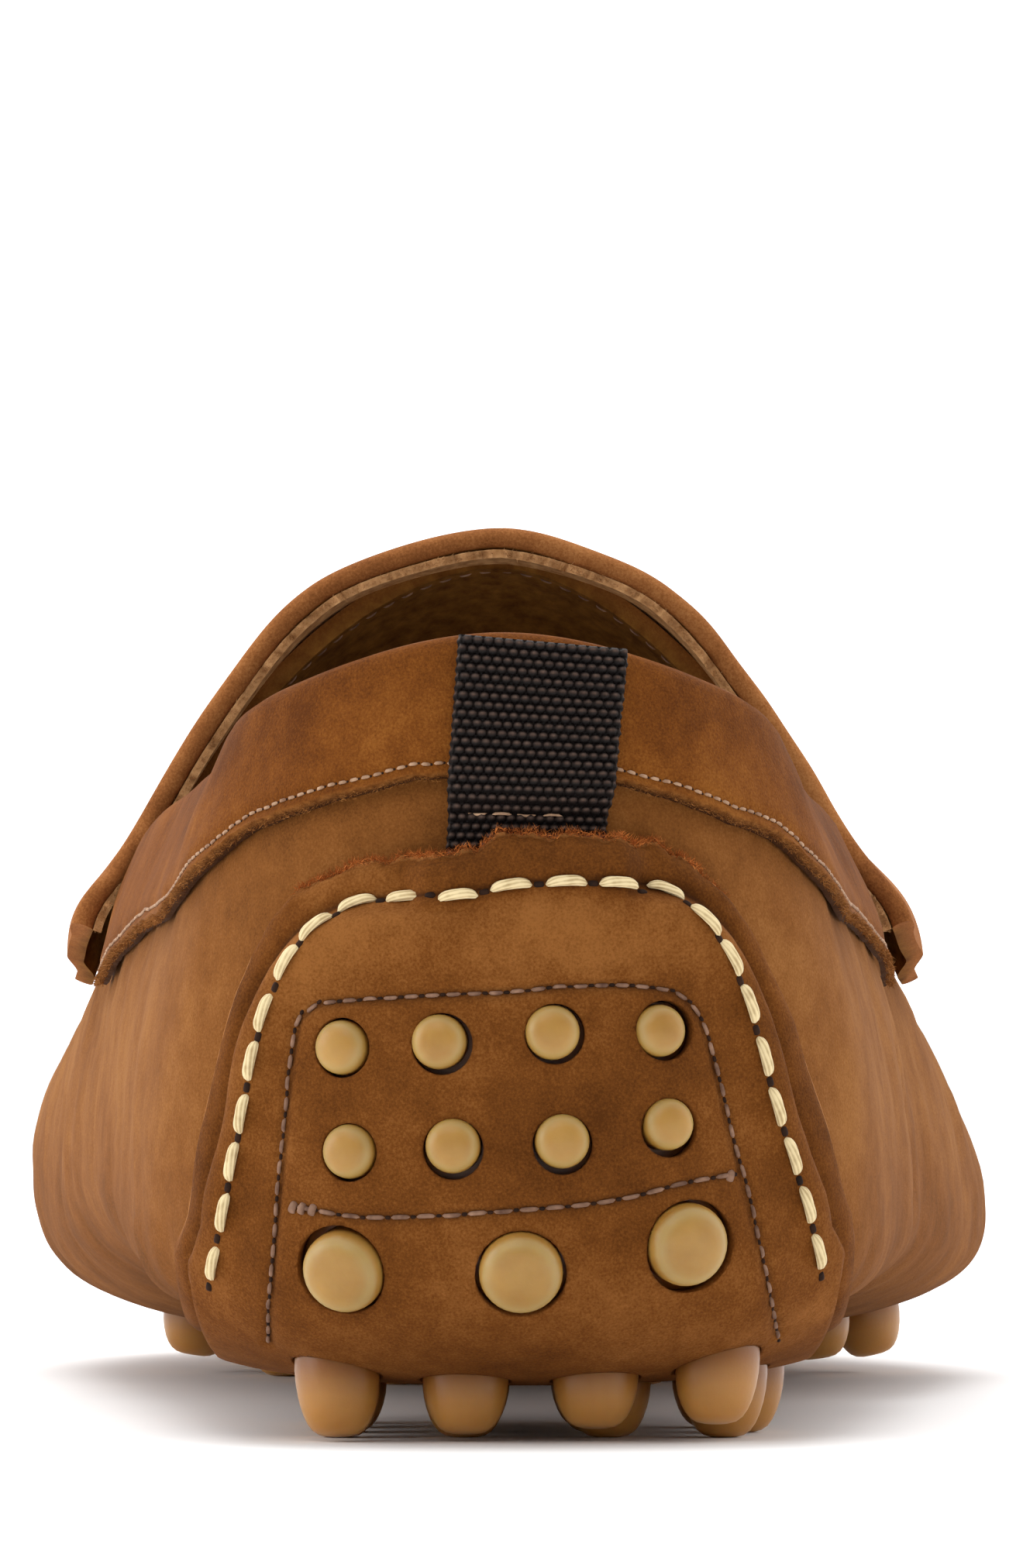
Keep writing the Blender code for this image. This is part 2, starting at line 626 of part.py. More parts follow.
def make_forefoot_rubber(upper):
    """The rubber inside the upper's bottom, with its pebbles out through holes."""
    outer, inner = [], []
    top = WALL + FORE_GAP + RUBBER_THICK
    for share in FORE_SHARES:
        near, far = [], []
        for y, inner_half, outer_half in FORE_RUBBER:
            x = share * (outer_half if share > 0 else inner_half)
            point, out = drape((x, y, HEEL_LINE_HEIGHT), (0, 0, -1))
            near.append(point - out * top)
            far.append(point - out * (WALL + FORE_GAP))
        inner.append(near)
        outer.append(far)
    rubber = wall_between("forefoot_rubber", np.array(outer), np.array(inner))
    root = -(WALL + FORE_GAP + RUBBER_THICK / 2)
    combine(rubber, stubs("forefoot_pebbles", fore_pebbles(), root), "UNION")
    combine(upper, stubs("forefoot_holes", fore_pebbles(), root, HOLE_CLEAR, 1.0), "DIFFERENCE")
    return rubber


INSOLE_ANGLES = (KEEL_ANGLE, -58, -48)
INSOLE_STEP_Y = (106, 126)


def make_insole():
    """The footbed: on the upper's bottom at the heel, on the rubber at the forefoot."""
    u = both_sides(rib_columns(0))[:-1]
    angles = np.radians(INSOLE_ANGLES)[None, :] + 0 * u[:, None]
    columns = u[:, None] + 0 * angles
    on_rubber = smooth_step(place(columns, angles)[..., 1], *INSOLE_STEP_Y)
    under = WALL + GAP + (FORE_GAP + RUBBER_THICK) * on_rubber
    return wall_between("insole", skin(columns, angles, -under),
                        skin(columns, angles, -under - INSOLE_THICK), closed=True, laddered=True)


WEBBING_HEIGHTS = (49.6, 53.0, 55.2, 57.9, 61.0, 65.0, 70.0)
WEBBING_SHARES = (-1, -0.5, 0, 0.5, 1)
# It steps out over the band's lower edge between these heights
BAND_CLEAR = BAND_THICK + 2 * GAP
BAND_STEP = (54.5, 57.5)


def make_pull_loop():
    """The webbing from the topline, over the band, down under the flap's top edge."""
    outer, inner = [], []
    for share in WEBBING_SHARES:
        near, far = [], []
        for height in WEBBING_HEIGHTS:
            x = webbing_centre(height) + share * WEBBING_HALF
            point, out = drape(*heel_ray(x, "back", height))
            lift = GAP + (BAND_CLEAR - GAP) * float(smooth_step(height, *BAND_STEP))
            near.append(point + out * lift)
            far.append(point + out * (lift + WEBBING_THICK))
        inner.append(near)
        outer.append(far)
    return wall_between("pull_loop", np.array(outer), np.array(inner))


# Colours are linear red, green and blue
MATERIALS = {
    "nubuck": ((0.376, 0.141, 0.042, 1), 0.85),
    "strap_leather": ((0.305, 0.107, 0.032, 1), 0.7),
    "gum_rubber": ((0.52, 0.32, 0.11, 1), 0.4),
    "webbing": ((0.027, 0.013, 0.010, 1), 0.9),
    "lining": ((0.16, 0.07, 0.02, 1), 0.8),
}
MATERIAL_OF = {
    "upper": "nubuck",
    "apron": "nubuck",
    "collar_band": "nubuck",
    "saddle_strap": "strap_leather",
    "heel_flap": "nubuck",
    "heel_rubber": "gum_rubber",
    "forefoot_rubber": "gum_rubber",
    "pull_loop": "webbing",
    "insole": "lining",
}


def make_materials():
    made = {}
    for name, (colour, roughness) in MATERIALS.items():
        material = bpy.data.materials.new(name)
        material.use_nodes = True
        shader = material.node_tree.nodes["Principled BSDF"]
        shader.inputs["Base Color"].default_value = colour
        shader.inputs["Roughness"].default_value = roughness
        shader.inputs["Metallic"].default_value = 0.0
        made[name] = material
    return made


def main():
    for thing in list(bpy.data.objects):
        bpy.data.objects.remove(thing)
    materials = make_materials()
    upper = make_upper()
    pieces = [upper, make_apron(), make_collar_band(), make_saddle_strap(), *make_heel(),
              make_forefoot_rubber(upper), make_insole(), make_pull_loop()]
    for piece in pieces:
        piece.data.materials.append(materials[MATERIAL_OF[piece.name]])


main()
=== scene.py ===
"""Looks of the right driving moccasin: nubuck, hand stitches, webbing and gum rubber pebbles."""

import math

import bmesh
import bpy
import numpy as np
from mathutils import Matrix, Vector
from mathutils.bvhtree import BVHTree


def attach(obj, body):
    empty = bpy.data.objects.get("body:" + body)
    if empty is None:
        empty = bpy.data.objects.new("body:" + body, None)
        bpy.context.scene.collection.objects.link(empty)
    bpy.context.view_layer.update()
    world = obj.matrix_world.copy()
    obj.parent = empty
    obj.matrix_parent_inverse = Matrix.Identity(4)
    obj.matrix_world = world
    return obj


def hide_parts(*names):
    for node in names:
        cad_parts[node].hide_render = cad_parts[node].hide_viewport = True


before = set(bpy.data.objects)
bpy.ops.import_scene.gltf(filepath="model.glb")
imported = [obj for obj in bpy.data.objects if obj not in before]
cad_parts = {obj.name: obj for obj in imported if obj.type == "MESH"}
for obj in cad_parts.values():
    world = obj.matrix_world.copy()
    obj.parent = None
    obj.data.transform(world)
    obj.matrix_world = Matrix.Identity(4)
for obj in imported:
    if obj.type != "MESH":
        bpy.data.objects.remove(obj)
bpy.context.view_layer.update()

MM = 0.001

# Driving sizes of the part, in millimetres
LENGTH = 284.0
BALL_WIDTH = 100.0
INSTEP_HEIGHT = 82.0
HEEL_HEIGHT = 70.3
WALL = 1.8
GAP = 0.3
BAND_THICK = 1.4
STRAP_THICK = 1.8
FLAP_THICK = 1.6
RUBBER_THICK = 1.0
HEEL_GAP = 0.45
FLAP_GAP = 0.65
INSOLE_THICK = 2.5
CENTRE_X = -1.0
CENTRE_Y = 140.6

# The last, one row for each rib from the heel back round to the toe tip. Every rib starts on the
# spine: base_y is in percent of the length, base_x in percent of the half ball width. turn is the
# rib's direction in plan, in degrees from straight back. keel is the height of the bottom, crown
# is in percent of the instep height. edge, the top of the side wall, and band, the lower edge of
# the collar band, are in percent of the heel height. out is the outer side and in the inner side:
# wide is in percent of the half ball width, rise is the height of the widest point, and top and
# low are how square the rib is above and below it, where 2 is an ellipse.
RIB_COLUMNS = ("name", "base_y", "base_x", "turn", "keel", "crown", "edge", "band",
               "out_wide", "in_wide", "out_rise", "in_rise", "out_top", "in_top", "out_low", "in_low")
RIBS = (
    ("heel_back", 12.0, 0.0, 0, 8.3, 155, 100, 83, 63.0, 63.0, 26.0, 26.0, 2.00, 2.00, 3.8, 3.8),
    ("heel_corner", 12.0, 0.0, 42, 8.3, 120, 94, 77.5, 64.0, 64.0, 24.0, 24.0, 2.00, 2.00, 3.7, 3.7),
    ("heel_side", 14.1, 0.0, 78, 8.3, 95, 87, 66.5, 67.0, 67.0, 21.5, 22.0, 1.95, 2.00, 3.5, 3.5),
    ("heel_front", 21.8, 0.0, 90, 8.3, 93, 83, 64.5, 71.5, 72.0, 20.5, 22.0, 1.92, 2.03, 3.2, 3.0),
    ("waist", 30.3, 0.0, 90, 8.6, 96, 80, 60.5, 77.0, 78.0, 20.0, 23.0, 1.85, 1.98, 2.9, 2.6),
    ("throat", 38.0, -0.6, 90, 8.0, 101.5, 76, 56.5, 79.2, 81.5, 19.5, 23.5, 1.73, 1.80, 2.8, 2.6),
    ("strap_front", 45.8, 0.0, 90, 6.2, 90, 63.5, 52, 86.5, 88.5, 18.5, 23.0, 1.80, 1.85, 2.8, 2.7),
    ("ball_back", 54.6, -0.6, 90, 4.7, 79, 62, 50, 94.0, 92.0, 17.8, 22.5, 1.78, 1.92, 2.9, 3.2),
    ("ball", 63.4, -2.0, 90, 4.6, 70, 61, 50, 100.0, 96.4, 17.5, 22.0, 1.76, 1.92, 2.9, 3.4),
    ("ball_front", 72.2, -5.0, 90, 4.6, 63, 60, 50, 98.6, 95.8, 18.0, 22.0, 1.85, 1.95, 2.9, 3.2),
    ("toe_side", 79.6, -9.6, 100, 4.9, 58, 58.5, 50, 89.0, 86.0, 20.0, 22.0, 2.05, 2.10, 2.8, 2.9),
    ("toe_corner", 81.0, -10.0, 130, 5.1, 57, 57.0, 50, 84.0, 87.0, 22.0, 22.5, 2.20, 2.20, 2.6, 2.6),
    ("toe_front", 81.3, -10.0, 156, 5.2, 57, 56.5, 50, 96.0, 99.0, 23.5, 23.5, 2.25, 2.25, 2.45, 2.5),
    ("toe_tip", 81.3, -10.0, 180, 5.2, 57, 56.0, 50, 106.0, 106.0, 24.0, 24.0, 2.25, 2.25, 2.4, 2.4),
)
# The whole shoe leans this far to the inner side at instep height
LEAN = 1.2


def rib_table():
    """The ribs once round the shoe, up the outer side and back down the inner side."""
    rows = [dict(zip(RIB_COLUMNS, row)) for row in RIBS]
    ring = [(row, "out_") for row in rows] + [(row, "in_") for row in rows[-2:0:-1]]
    half = BALL_WIDTH / 2
    wholes = {"base_y": LENGTH, "base_x": half, "crown": INSTEP_HEIGHT, "edge": HEEL_HEIGHT,
              "band": HEEL_HEIGHT, "wide": half}
    table = {}
    for name in ("base_y", "base_x", "turn", "keel", "crown", "edge", "band", "top", "wide", "rise",
                 "low"):
        values = [row[name] if name in row else row[side + name] for row, side in ring]
        table[name] = np.array(values, float)
        if name in wholes:
            table[name] = table[name] / 100 * wholes[name]
    table["turn"][len(RIBS):] = 360 - table["turn"][len(RIBS):]
    return table


RIB = rib_table()
RIB_COUNT = len(RIB["turn"])
TOE_TIP = len(RIBS) - 1


def through(a, b, c, d, t):
    """A smooth curve from b to c, as t goes from 0 to 1; a comes before them and d after."""
    return 0.5 * (2 * b + (c - a) * t + (2 * a - 5 * b + 4 * c - d) * t ** 2
                  + (3 * b - a - 3 * c + d) * t ** 3)


def along(name, u):
    """One column of the rib table as a smooth closed curve; u counts ribs."""
    values = RIB[name]
    full_turn = 360 if name == "turn" else 0
    first = np.floor(u).astype(int)
    near = [values[(first + k) % RIB_COUNT] + full_turn * ((first + k) // RIB_COUNT)
            for k in (-1, 0, 1, 2)]
    return through(*near, u - first)


def place(u, phi):
    """Point of the last at rib u; phi is -90 degrees at the keel, 0 at the widest, 90 on top."""
    rise = along("rise", u)
    square = np.where(phi < 0, along("low", u), along("top", u))
    tall = np.where(phi < 0, rise - along("keel", u), along("crown", u) - rise)
    cos, sin = np.abs(np.cos(phi)), np.abs(np.sin(phi))
    reach = (cos ** square + sin ** square) ** (-1 / square)
    out = along("wide", u) * reach * cos
    turn = np.radians(along("turn", u))
    height = rise + np.sign(phi) * tall * reach * sin
    return np.stack([along("base_x", u) + out * np.sin(turn) - LEAN * height / INSTEP_HEIGHT,
                     along("base_y", u) - out * np.cos(turn),
                     height], axis=-1)


def normal(u, phi):
    step = 0.004
    across = place(u + step, phi) - place(u - step, phi)
    upward = place(u, phi + step) - place(u, phi - step)
    out = np.cross(across, upward)
    return out / np.linalg.norm(out, axis=-1, keepdims=True)


def skin(u, phi, lift=0.0):
    """The last's surface, moved out along its normal by lift."""
    u, phi = np.broadcast_arrays(np.asarray(u, float), np.asarray(phi, float))
    return place(u, phi) + normal(u, phi) * np.asarray(lift)[..., None]


def phi_at_height(u, height):
    """The angle up the rib at which the last reaches a height above the widest point."""
    u = np.asarray(u, float)
    rise, top = along("rise", u), along("top", u)
    share = (height - rise) / (along("crown", u) - rise)
    return np.arctan((share ** -top - 1) ** (-1 / top))


def smooth_step(value, low, high):
    t = np.clip((value - low) / (high - low), 0, 1)
    return t * t * (3 - 2 * t)


def unit(vectors):
    return vectors / np.linalg.norm(vectors, axis=-1, keepdims=True)


def ripple(points, size, seed):
    """Smooth uneven values, mostly from -1 to 1, about size millimetres across."""
    dice = np.random.default_rng(seed)
    total = np.zeros(np.shape(points)[:-1])
    for _ in range(7):
        wave = unit(dice.normal(size=3)) * 2 * np.pi / (size * dice.uniform(0.7, 1.5))
        total += np.sin(points @ wave + dice.uniform(0, 2 * np.pi))
    return total / 3


def distance_to(points, line):
    """Distance from points to a polyline."""
    line = np.asarray(line, float)
    best = np.full(np.shape(points)[:-1], np.inf)
    for a, b in zip(line[:-1], line[1:]):
        run = b - a
        share = np.clip((points - a) @ run / (run @ run), 0, 1)
        best = np.minimum(best, np.linalg.norm(points - a - share[..., None] * run, axis=-1))
    return best


def ridge(distance, height, at, width):
    """A soft ridge at one distance from a line; a groove where its height is negative."""
    return height * np.exp(-((distance - at) / width) ** 2)


def trough(points, line, depth, width):
    """A soft trough, or with a negative depth a ridge, along a polyline."""
    return ridge(distance_to(points, line), -depth, 0, width)


def creased(relief, points, creases, where=1):
    """A relief with a table of troughs and ridges added, each a depth, a width and a line."""
    for depth, width, line in creases:
        relief = relief + trough(points, line, depth, width) * where
    return relief


def spaced(line, pitch):
    """Points along a polyline every pitch, and the directions of the line there."""
    line = np.asarray(line, float)
    steps = np.linalg.norm(np.diff(line, axis=0), axis=1)
    length = np.concatenate([[0], np.cumsum(steps)])
    at = np.arange(pitch / 2, length[-1], pitch)
    points, ahead, behind = (
        np.stack([np.interp(where, length, line[:, k]) for k in range(3)], axis=1)
        for where in (at, at + pitch / 4, at - pitch / 4))
    return points, unit(ahead - behind)


def grid_faces(columns, rows, closed=False, start=0):
    """Quads over a grid of points [column, row]; closed joins the last column to the first."""
    i, j = np.meshgrid(np.arange(columns if closed else columns - 1), np.arange(rows - 1),
                       indexing="ij")
    after = (i + 1) % columns
    quads = [i * rows + j, after * rows + j, after * rows + j + 1, i * rows + j + 1]
    return np.stack(quads, axis=-1).reshape(-1, 4) + start


def shell(outer, inner, closed=False, laddered=False):
    """Points and faces of a solid between two grids of points [column, row].

    laddered fills row 0 straight across, each column to its twin on the other side.
    """
    columns, rows = outer.shape[:2]
    shift = columns * rows
    points = np.concatenate([outer.reshape(-1, 3), inner.reshape(-1, 3)])
    faces = [grid_faces(columns, rows, closed), grid_faces(columns, rows, closed, shift)]
    i = np.arange(columns if closed else columns - 1)
    after = (i + 1) % columns
    for j in (rows - 1,) if laddered else (0, rows - 1):
        a, b = i * rows + j, after * rows + j
        faces.append(np.stack([a, b, b + shift, a + shift], axis=-1))
    if not closed:
        j = np.arange(rows - 1)
        for column in (0, columns - 1):
            a = column * rows + j
            faces.append(np.stack([a, a + 1, a + 1 + shift, a + shift], axis=-1))
    if laddered:
        first = 1 if closed else 0
        i = np.arange(first, columns // 2)
        twin = (columns - i) % columns if closed else columns - 1 - i
        next_twin = (columns - i - 1) % columns if closed else columns - 2 - i
        rungs = np.stack([i, i + 1, next_twin, twin], axis=-1)
        rungs = rungs[[len(set(rung)) == 4 for rung in rungs.tolist()]]
        faces += [rungs * rows, rungs * rows + shift]
        if not closed:
            last = (columns - 1) * rows
            faces.append(np.array([[0, last, last + shift, shift]]))
        if closed:
            for tip in ([0, 1, columns - 1], [columns // 2 - 1, columns // 2, columns // 2 + 1]):
                faces += [np.array([tip]) * rows, np.array([tip]) * rows + shift]
    return points, faces


def two_skins(outer, inner, shape):
    """A mark's values on the outer and on the inner points of a shell."""
    return np.stack([np.broadcast_to(outer, shape), np.broadcast_to(inner, shape)])


def make_piece(name, points, faces, finish, node=None, slot=None, smooth=60, **marks):
    """One shown piece from points in millimetres. marks are values for the finish, per point."""
    mesh = bpy.data.meshes.new(name)
    points = (np.asarray(points, float).reshape(-1, 3) - (CENTRE_X, CENTRE_Y, 0)) * MM
    faces = [np.asarray(part) for part in faces if len(part)]
    corners = np.concatenate([part.ravel() for part in faces])
    sizes = np.concatenate([np.full(len(part), part.shape[1]) for part in faces])
    mesh.vertices.add(len(points))
    mesh.vertices.foreach_set("co", points.ravel())
    mesh.loops.add(len(corners))
    mesh.loops.foreach_set("vertex_index", corners)
    mesh.polygons.add(len(sizes))
    mesh.polygons.foreach_set("loop_start", np.concatenate([[0], np.cumsum(sizes)[:-1]]))
    mesh.update(calc_edges=True)
    for mark, values in marks.items():
        layer = mesh.attributes.new(mark, "FLOAT", "POINT")
        layer.data.foreach_set("value", np.asarray(values, float).ravel())
    turn_outwards(mesh)
    mesh.shade_smooth()
    mesh.set_sharp_from_angle(angle=math.radians(smooth))
    thing = bpy.data.objects.new(name, mesh)
    bpy.context.scene.collection.objects.link(thing)
    mesh.materials.append(FINISHES[finish])
    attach(thing, "root")
    if node:
        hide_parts(node)
    return thing


def turn_outwards(mesh):
    shape = bmesh.new()
    shape.from_mesh(mesh)
    bmesh.ops.recalc_face_normals(shape, faces=shape.faces)
    shape.to_mesh(mesh)
    shape.free()


def last_grid(steps=20, rows=120, steepest=88):
    """The last as a fine mesh to lay pieces on, with this many steps from rib to rib."""
    ribs = np.linspace(0, RIB_COUNT, steps * RIB_COUNT, endpoint=False)
    angles = np.radians(np.linspace(-steepest, steepest, rows))
    grid = place(*np.meshgrid(ribs, angles, indexing="ij"))
    columns = len(ribs)
    faces = grid_faces(columns, rows, closed=True).tolist()
    for i in range(1, columns // 2 - 1):
        faces.append([k * rows for k in (i, i + 1, columns - i - 1, columns - i)])
    tree = BVHTree.FromPolygons(grid.reshape(-1, 3).tolist(), faces)
    return ribs, angles, grid, tree


LAST_RIBS, LAST_ANGLES, LAST_GRID, LAST_TREE = last_grid()


def drape(starts, directions):
    """Where rays meet the last, and the last's outward normals there."""
    shape = np.shape(starts)
    directions = np.broadcast_to(directions, shape).reshape(-1, 3)
    columns, rows = LAST_GRID.shape[:2]
    quads = columns * (rows - 1)
    hits, cells = [], []
    for start, direction in zip(np.reshape(starts, (-1, 3)), directions):
        hit, _, face, _ = LAST_TREE.ray_cast(Vector(start), Vector(direction))
        hits.append(hit)
        cells.append((face // (rows - 1), face % (rows - 1)) if face < quads
                     else (face - quads + 1, 0))
    hits = np.array(hits)
    i, j = np.array(cells).T
    corner = LAST_GRID[i, j]
    shares = []
    for run in (LAST_GRID[(i + 1) % columns, j] - corner, LAST_GRID[i, j + 1] - corner):
        shares.append(np.clip(((hits - corner) * run).sum(1) / (run ** 2).sum(1), 0, 1))
    ribs = LAST_RIBS[i] + shares[0] * (LAST_RIBS[1] - LAST_RIBS[0])
    angles = LAST_ANGLES[j] + shares[1] * (LAST_ANGLES[1] - LAST_ANGLES[0])
    return hits.reshape(shape), normal(ribs, angles).reshape(shape)


class Surface:
    """A piece's surface, to lay stitches and fibres on."""

    def __init__(self, points, faces):
        polygons = [face for part in faces for face in np.asarray(part).tolist()]
        self.tree = BVHTree.FromPolygons(np.asarray(points).reshape(-1, 3).tolist(), polygons)

    def from_behind(self, line):
        """Points and outward normals where x, z positions seen from behind meet the surface."""
        points, outs = [], []
        for x, z in line:
            hit, out, _, _ = self.tree.ray_cast(Vector((x, -60, z)), Vector((0, 1, 0)))
            if hit is None:
                continue
            points.append(hit)
            outs.append(out if out.y < 0 else -out)
        return np.array(points), np.array(outs)

    def nearest(self, points, away):
        """The nearest points and normals, the normals turned to the away side."""
        found = [self.tree.find_nearest(Vector(p))[:2] for p in points]
        hits = np.array([f[0] for f in found])
        outs = np.array([f[1] for f in found])
        turned = (outs * away).sum(1) < 0
        outs[turned] *= -1
        return hits, outs


def smooth_line(line, spacing):
    """A polyline as a smooth curve through its points."""
    line = np.asarray(line, float)
    ends = np.concatenate([[2 * line[0] - line[1]], line, [2 * line[-1] - line[-2]]])
    out = []
    for k in range(len(line) - 1):
        a, b, c, d = ends[k:k + 4]
        count = max(2, int(np.linalg.norm(c - b) / spacing))
        out += [through(a, b, c, d, t) for t in np.linspace(0, 1, count, endpoint=False)]
    out.append(line[-1])
    return np.array(out)


def thread(points, directions, outs, length, radius, sides, rings, lobes=0, twist=0.0,
           sink=0.35, lift=0.5):
    """Stitches on a surface as one set of points and faces: each dives in at both ends."""
    t = np.linspace(-1, 1, rings)
    round_off = np.sqrt(np.clip(1 - np.abs(t) ** 4.5, 0, None)) * 0.92 + 0.08
    height = radius * (lift - (lift + sink) * np.abs(t) ** 3)
    around = np.linspace(0, 2 * np.pi, sides, endpoint=False)
    all_points, all_faces = [], []
    for point, ahead, out in zip(points, directions, outs):
        side = unit(np.cross(out, ahead))
        up = unit(np.cross(ahead, side))
        centre = point + t[:, None] * ahead * length / 2 + height[:, None] * up
        turn = around[None, :] + twist * t[:, None]
        swell = 1 + (0.07 * np.cos(lobes * turn) if lobes else 0) + 0 * turn
        reach = radius * round_off[:, None] * swell
        ring = (centre[:, None] + side * (reach * np.cos(around))[..., None]
                + up * (0.8 * reach * np.sin(around))[..., None])
        start = len(all_points) * rings * sides
        quads = grid_faces(sides, rings, closed=True, start=start)
        all_points.append(ring.transpose(1, 0, 2).reshape(-1, 3))
        all_faces.append(quads)
    return np.concatenate(all_points), [np.concatenate(all_faces)]


def strands(count, sides, rings, lobes, twist):
    """The strand mark, painted highlight on the filaments and painted shade between them, for
    stitches made by thread with the same numbers.
    """
    around = np.linspace(0, 2 * np.pi, sides, endpoint=False)
    turn = around[:, None] + twist * np.linspace(-1, 1, rings)[None, :]
    return np.tile((0.5 + 0.5 * np.cos(lobes * turn)).ravel(), count)


# How far a fibre's tip bends aside, of its length
CURL = 0.15


def fibres(points, directions, outs, length, width, seed, spread):
    """Short tapered fibres standing on a line of points, as one set of points and faces."""
    dice = np.random.default_rng(seed)
    count = len(points)
    long = length * dice.uniform(0.4, 1.3, (count, 1))
    lean = unit(outs + spread * dice.normal(size=(count, 3)))
    side = unit(np.cross(lean, directions + 0.2 * dice.normal(size=(count, 3))))
    bend = CURL * dice.normal(size=(count, 3)) * long
    root = points
    middle = root + lean * long * 0.5 + bend * 0.3
    tip = root + lean * long + bend
    wide = width * dice.uniform(0.6, 1.3, (count, 1)) / 2
    rows = [root - side * wide, root + side * wide, middle + side * wide * 0.8,
            middle - side * wide * 0.8, tip]
    start = np.arange(count)[:, None] * 5
    stacked = np.stack(rows, axis=1).reshape(-1, 3)
    return stacked, [start + np.array([[0, 1, 2, 3]]), start + np.array([[3, 2, 4]])]


def joined(parts):
    """Several sets of points and faces as one."""
    points, faces, start = [], [], 0
    for some, groups in parts:
        points.append(some)
        faces += [np.asarray(group) + start for group in groups]
        start += len(some)
    return np.concatenate(points), faces


# Finishes. Colours are linear red, green and blue
def colour(red, green, blue):
    """Linear colour from 0 to 255 display values."""
    def linear(value):
        value /= 255
        return value / 12.92 if value <= 0.04045 else ((value + 0.055) / 1.055) ** 2.4
    return (linear(red), linear(green), linear(blue), 1)


class Finish:
    """A procedural material; its helpers add shader nodes and return what they put out."""

    def __init__(self, name):
        self.material = bpy.data.materials.new(name)
        self.material.use_nodes = True
        self.tree = self.material.node_tree
        self.shader = self.tree.nodes["Principled BSDF"]
        coordinates = self.tree.nodes.new("ShaderNodeTexCoord")
        self.place = coordinates.outputs["Object"]

    def add(self, kind, inputs, output=0, **settings):
        made = self.tree.nodes.new("ShaderNode" + kind)
        for key, value in settings.items():
            setattr(made, key, value)
        for key, value in inputs.items():
            if isinstance(value, bpy.types.NodeSocket):
                self.tree.links.new(value, made.inputs[key])
            else:
                made.inputs[key].default_value = value
        return made.outputs[output]

    def noise(self, scale, detail, roughness, place=None):
        return self.add("TexNoise", {"Vector": place or self.place, "Scale": scale,
                                     "Detail": detail, "Roughness": roughness})

    def stretched(self, x, y, z):
        return self.add("Mapping", {"Vector": self.place, "Scale": (x, y, z)})

    def mark(self, name):
        return self.add("Attribute", {}, output="Fac", attribute_name=name)

    def spread(self, value, low, high):
        return self.add("MapRange", {"Value": value, "From Min": low, "From Max": high})

    def sum(self, a, b, scale=1.0):
        return self.add("Math", {0: b, 1: scale, 2: a}, operation="MULTIPLY_ADD")

    def mix(self, share, a, b):
        return self.add("Mix", {0: share, 6: a, 7: b}, output=2, data_type="RGBA")

    def bump(self, height, distance, strength, under=None):
        inputs = {"Height": height, "Distance": distance, "Strength": strength}
        if under is not None:
            inputs["Normal"] = under
        return self.add("Bump", inputs)

    def link(self, **sockets):
        for name, source in sockets.items():
            self.tree.links.new(source, self.shader.inputs[name.replace("_", " ")])

    def set(self, **values):
        for name, value in values.items():
            self.shader.inputs[name.replace("_", " ")].default_value = value


# Brushed leather: weights of its patches, of its nap and of the painted light mark against its
# clouds, and how far its noise runs each way from the middle colour
PATCH_WEIGHT = 0.42
NAP_WEIGHT = 0.85
TONE_WEIGHT = 0.35
NOISE_REACH = 0.34


def nubuck(name, dark, middle, light, grain=1.0, streaks=0.1):
    """Brushed leather: mottled, with a fine nap. Marks: raw, cut (a light line along cut edges, their
    own colour and a painted highlight), inside, tone (painted highlight and shade) and pit.
    """
    made = Finish(name)
    clouds = made.noise(75, 4, 0.6)
    patches = made.noise(420, 3, 0.6)
    lines = made.noise(190, 3, 0.55, made.stretched(1.0, 1.0, 0.22))
    nap = made.noise(4200, 2, 0.7)
    mixed = made.sum(clouds, patches, PATCH_WEIGHT)
    mixed = made.sum(mixed, lines, streaks)
    mixed = made.sum(mixed, nap, NAP_WEIGHT)
    mean = (1 + PATCH_WEIGHT + streaks + NAP_WEIGHT) * 0.5
    # Painted highlight and shade: this mark lightens or darkens the leather where light or shade
    # falls
    mixed = made.sum(mixed, made.mark("tone"), TONE_WEIGHT)
    low = made.mix(made.spread(mixed, mean - NOISE_REACH, mean), dark, middle)
    body = made.mix(made.spread(mixed, mean, mean + NOISE_REACH), low, light)
    flecks = made.spread(made.noise(1500, 4, 0.7), 0.35, 0.7)
    raw = made.mix(flecks, RAW_DARK, RAW_LIGHT)
    body = made.mix(made.mark("raw"), body, raw)
    # A light line along cut edges: their own colour and a painted highlight
    body = made.mix(made.mark("cut"), body, CUT_EDGE)
    lining = made.mix(made.spread(made.noise(500, 4, 0.65), 0.3, 0.7), LINING_DARK, LINING_LIGHT)
    body = made.mix(made.mark("inside"), body, lining)
    # Painted shade, dark in the seam grooves and under the band's lower edge
    body = made.mix(made.mark("pit"), body, PIT)
    grain_height = made.sum(made.noise(5200, 2, 0.5), made.noise(1300, 3, 0.6), 0.8)
    fine = made.bump(grain_height, 0.00006 * grain, 0.8)
    soft = made.bump(made.noise(230, 3, 0.5), 0.0006, 0.35, fine)
    made.link(Base_Color=body, Normal=soft)
    made.set(Roughness=0.9, Specular_IOR_Level=0.08, Sheen_Weight=0.03, Sheen_Roughness=0.45,
             Sheen_Tint=colour(235, 170, 105))
    return made.material


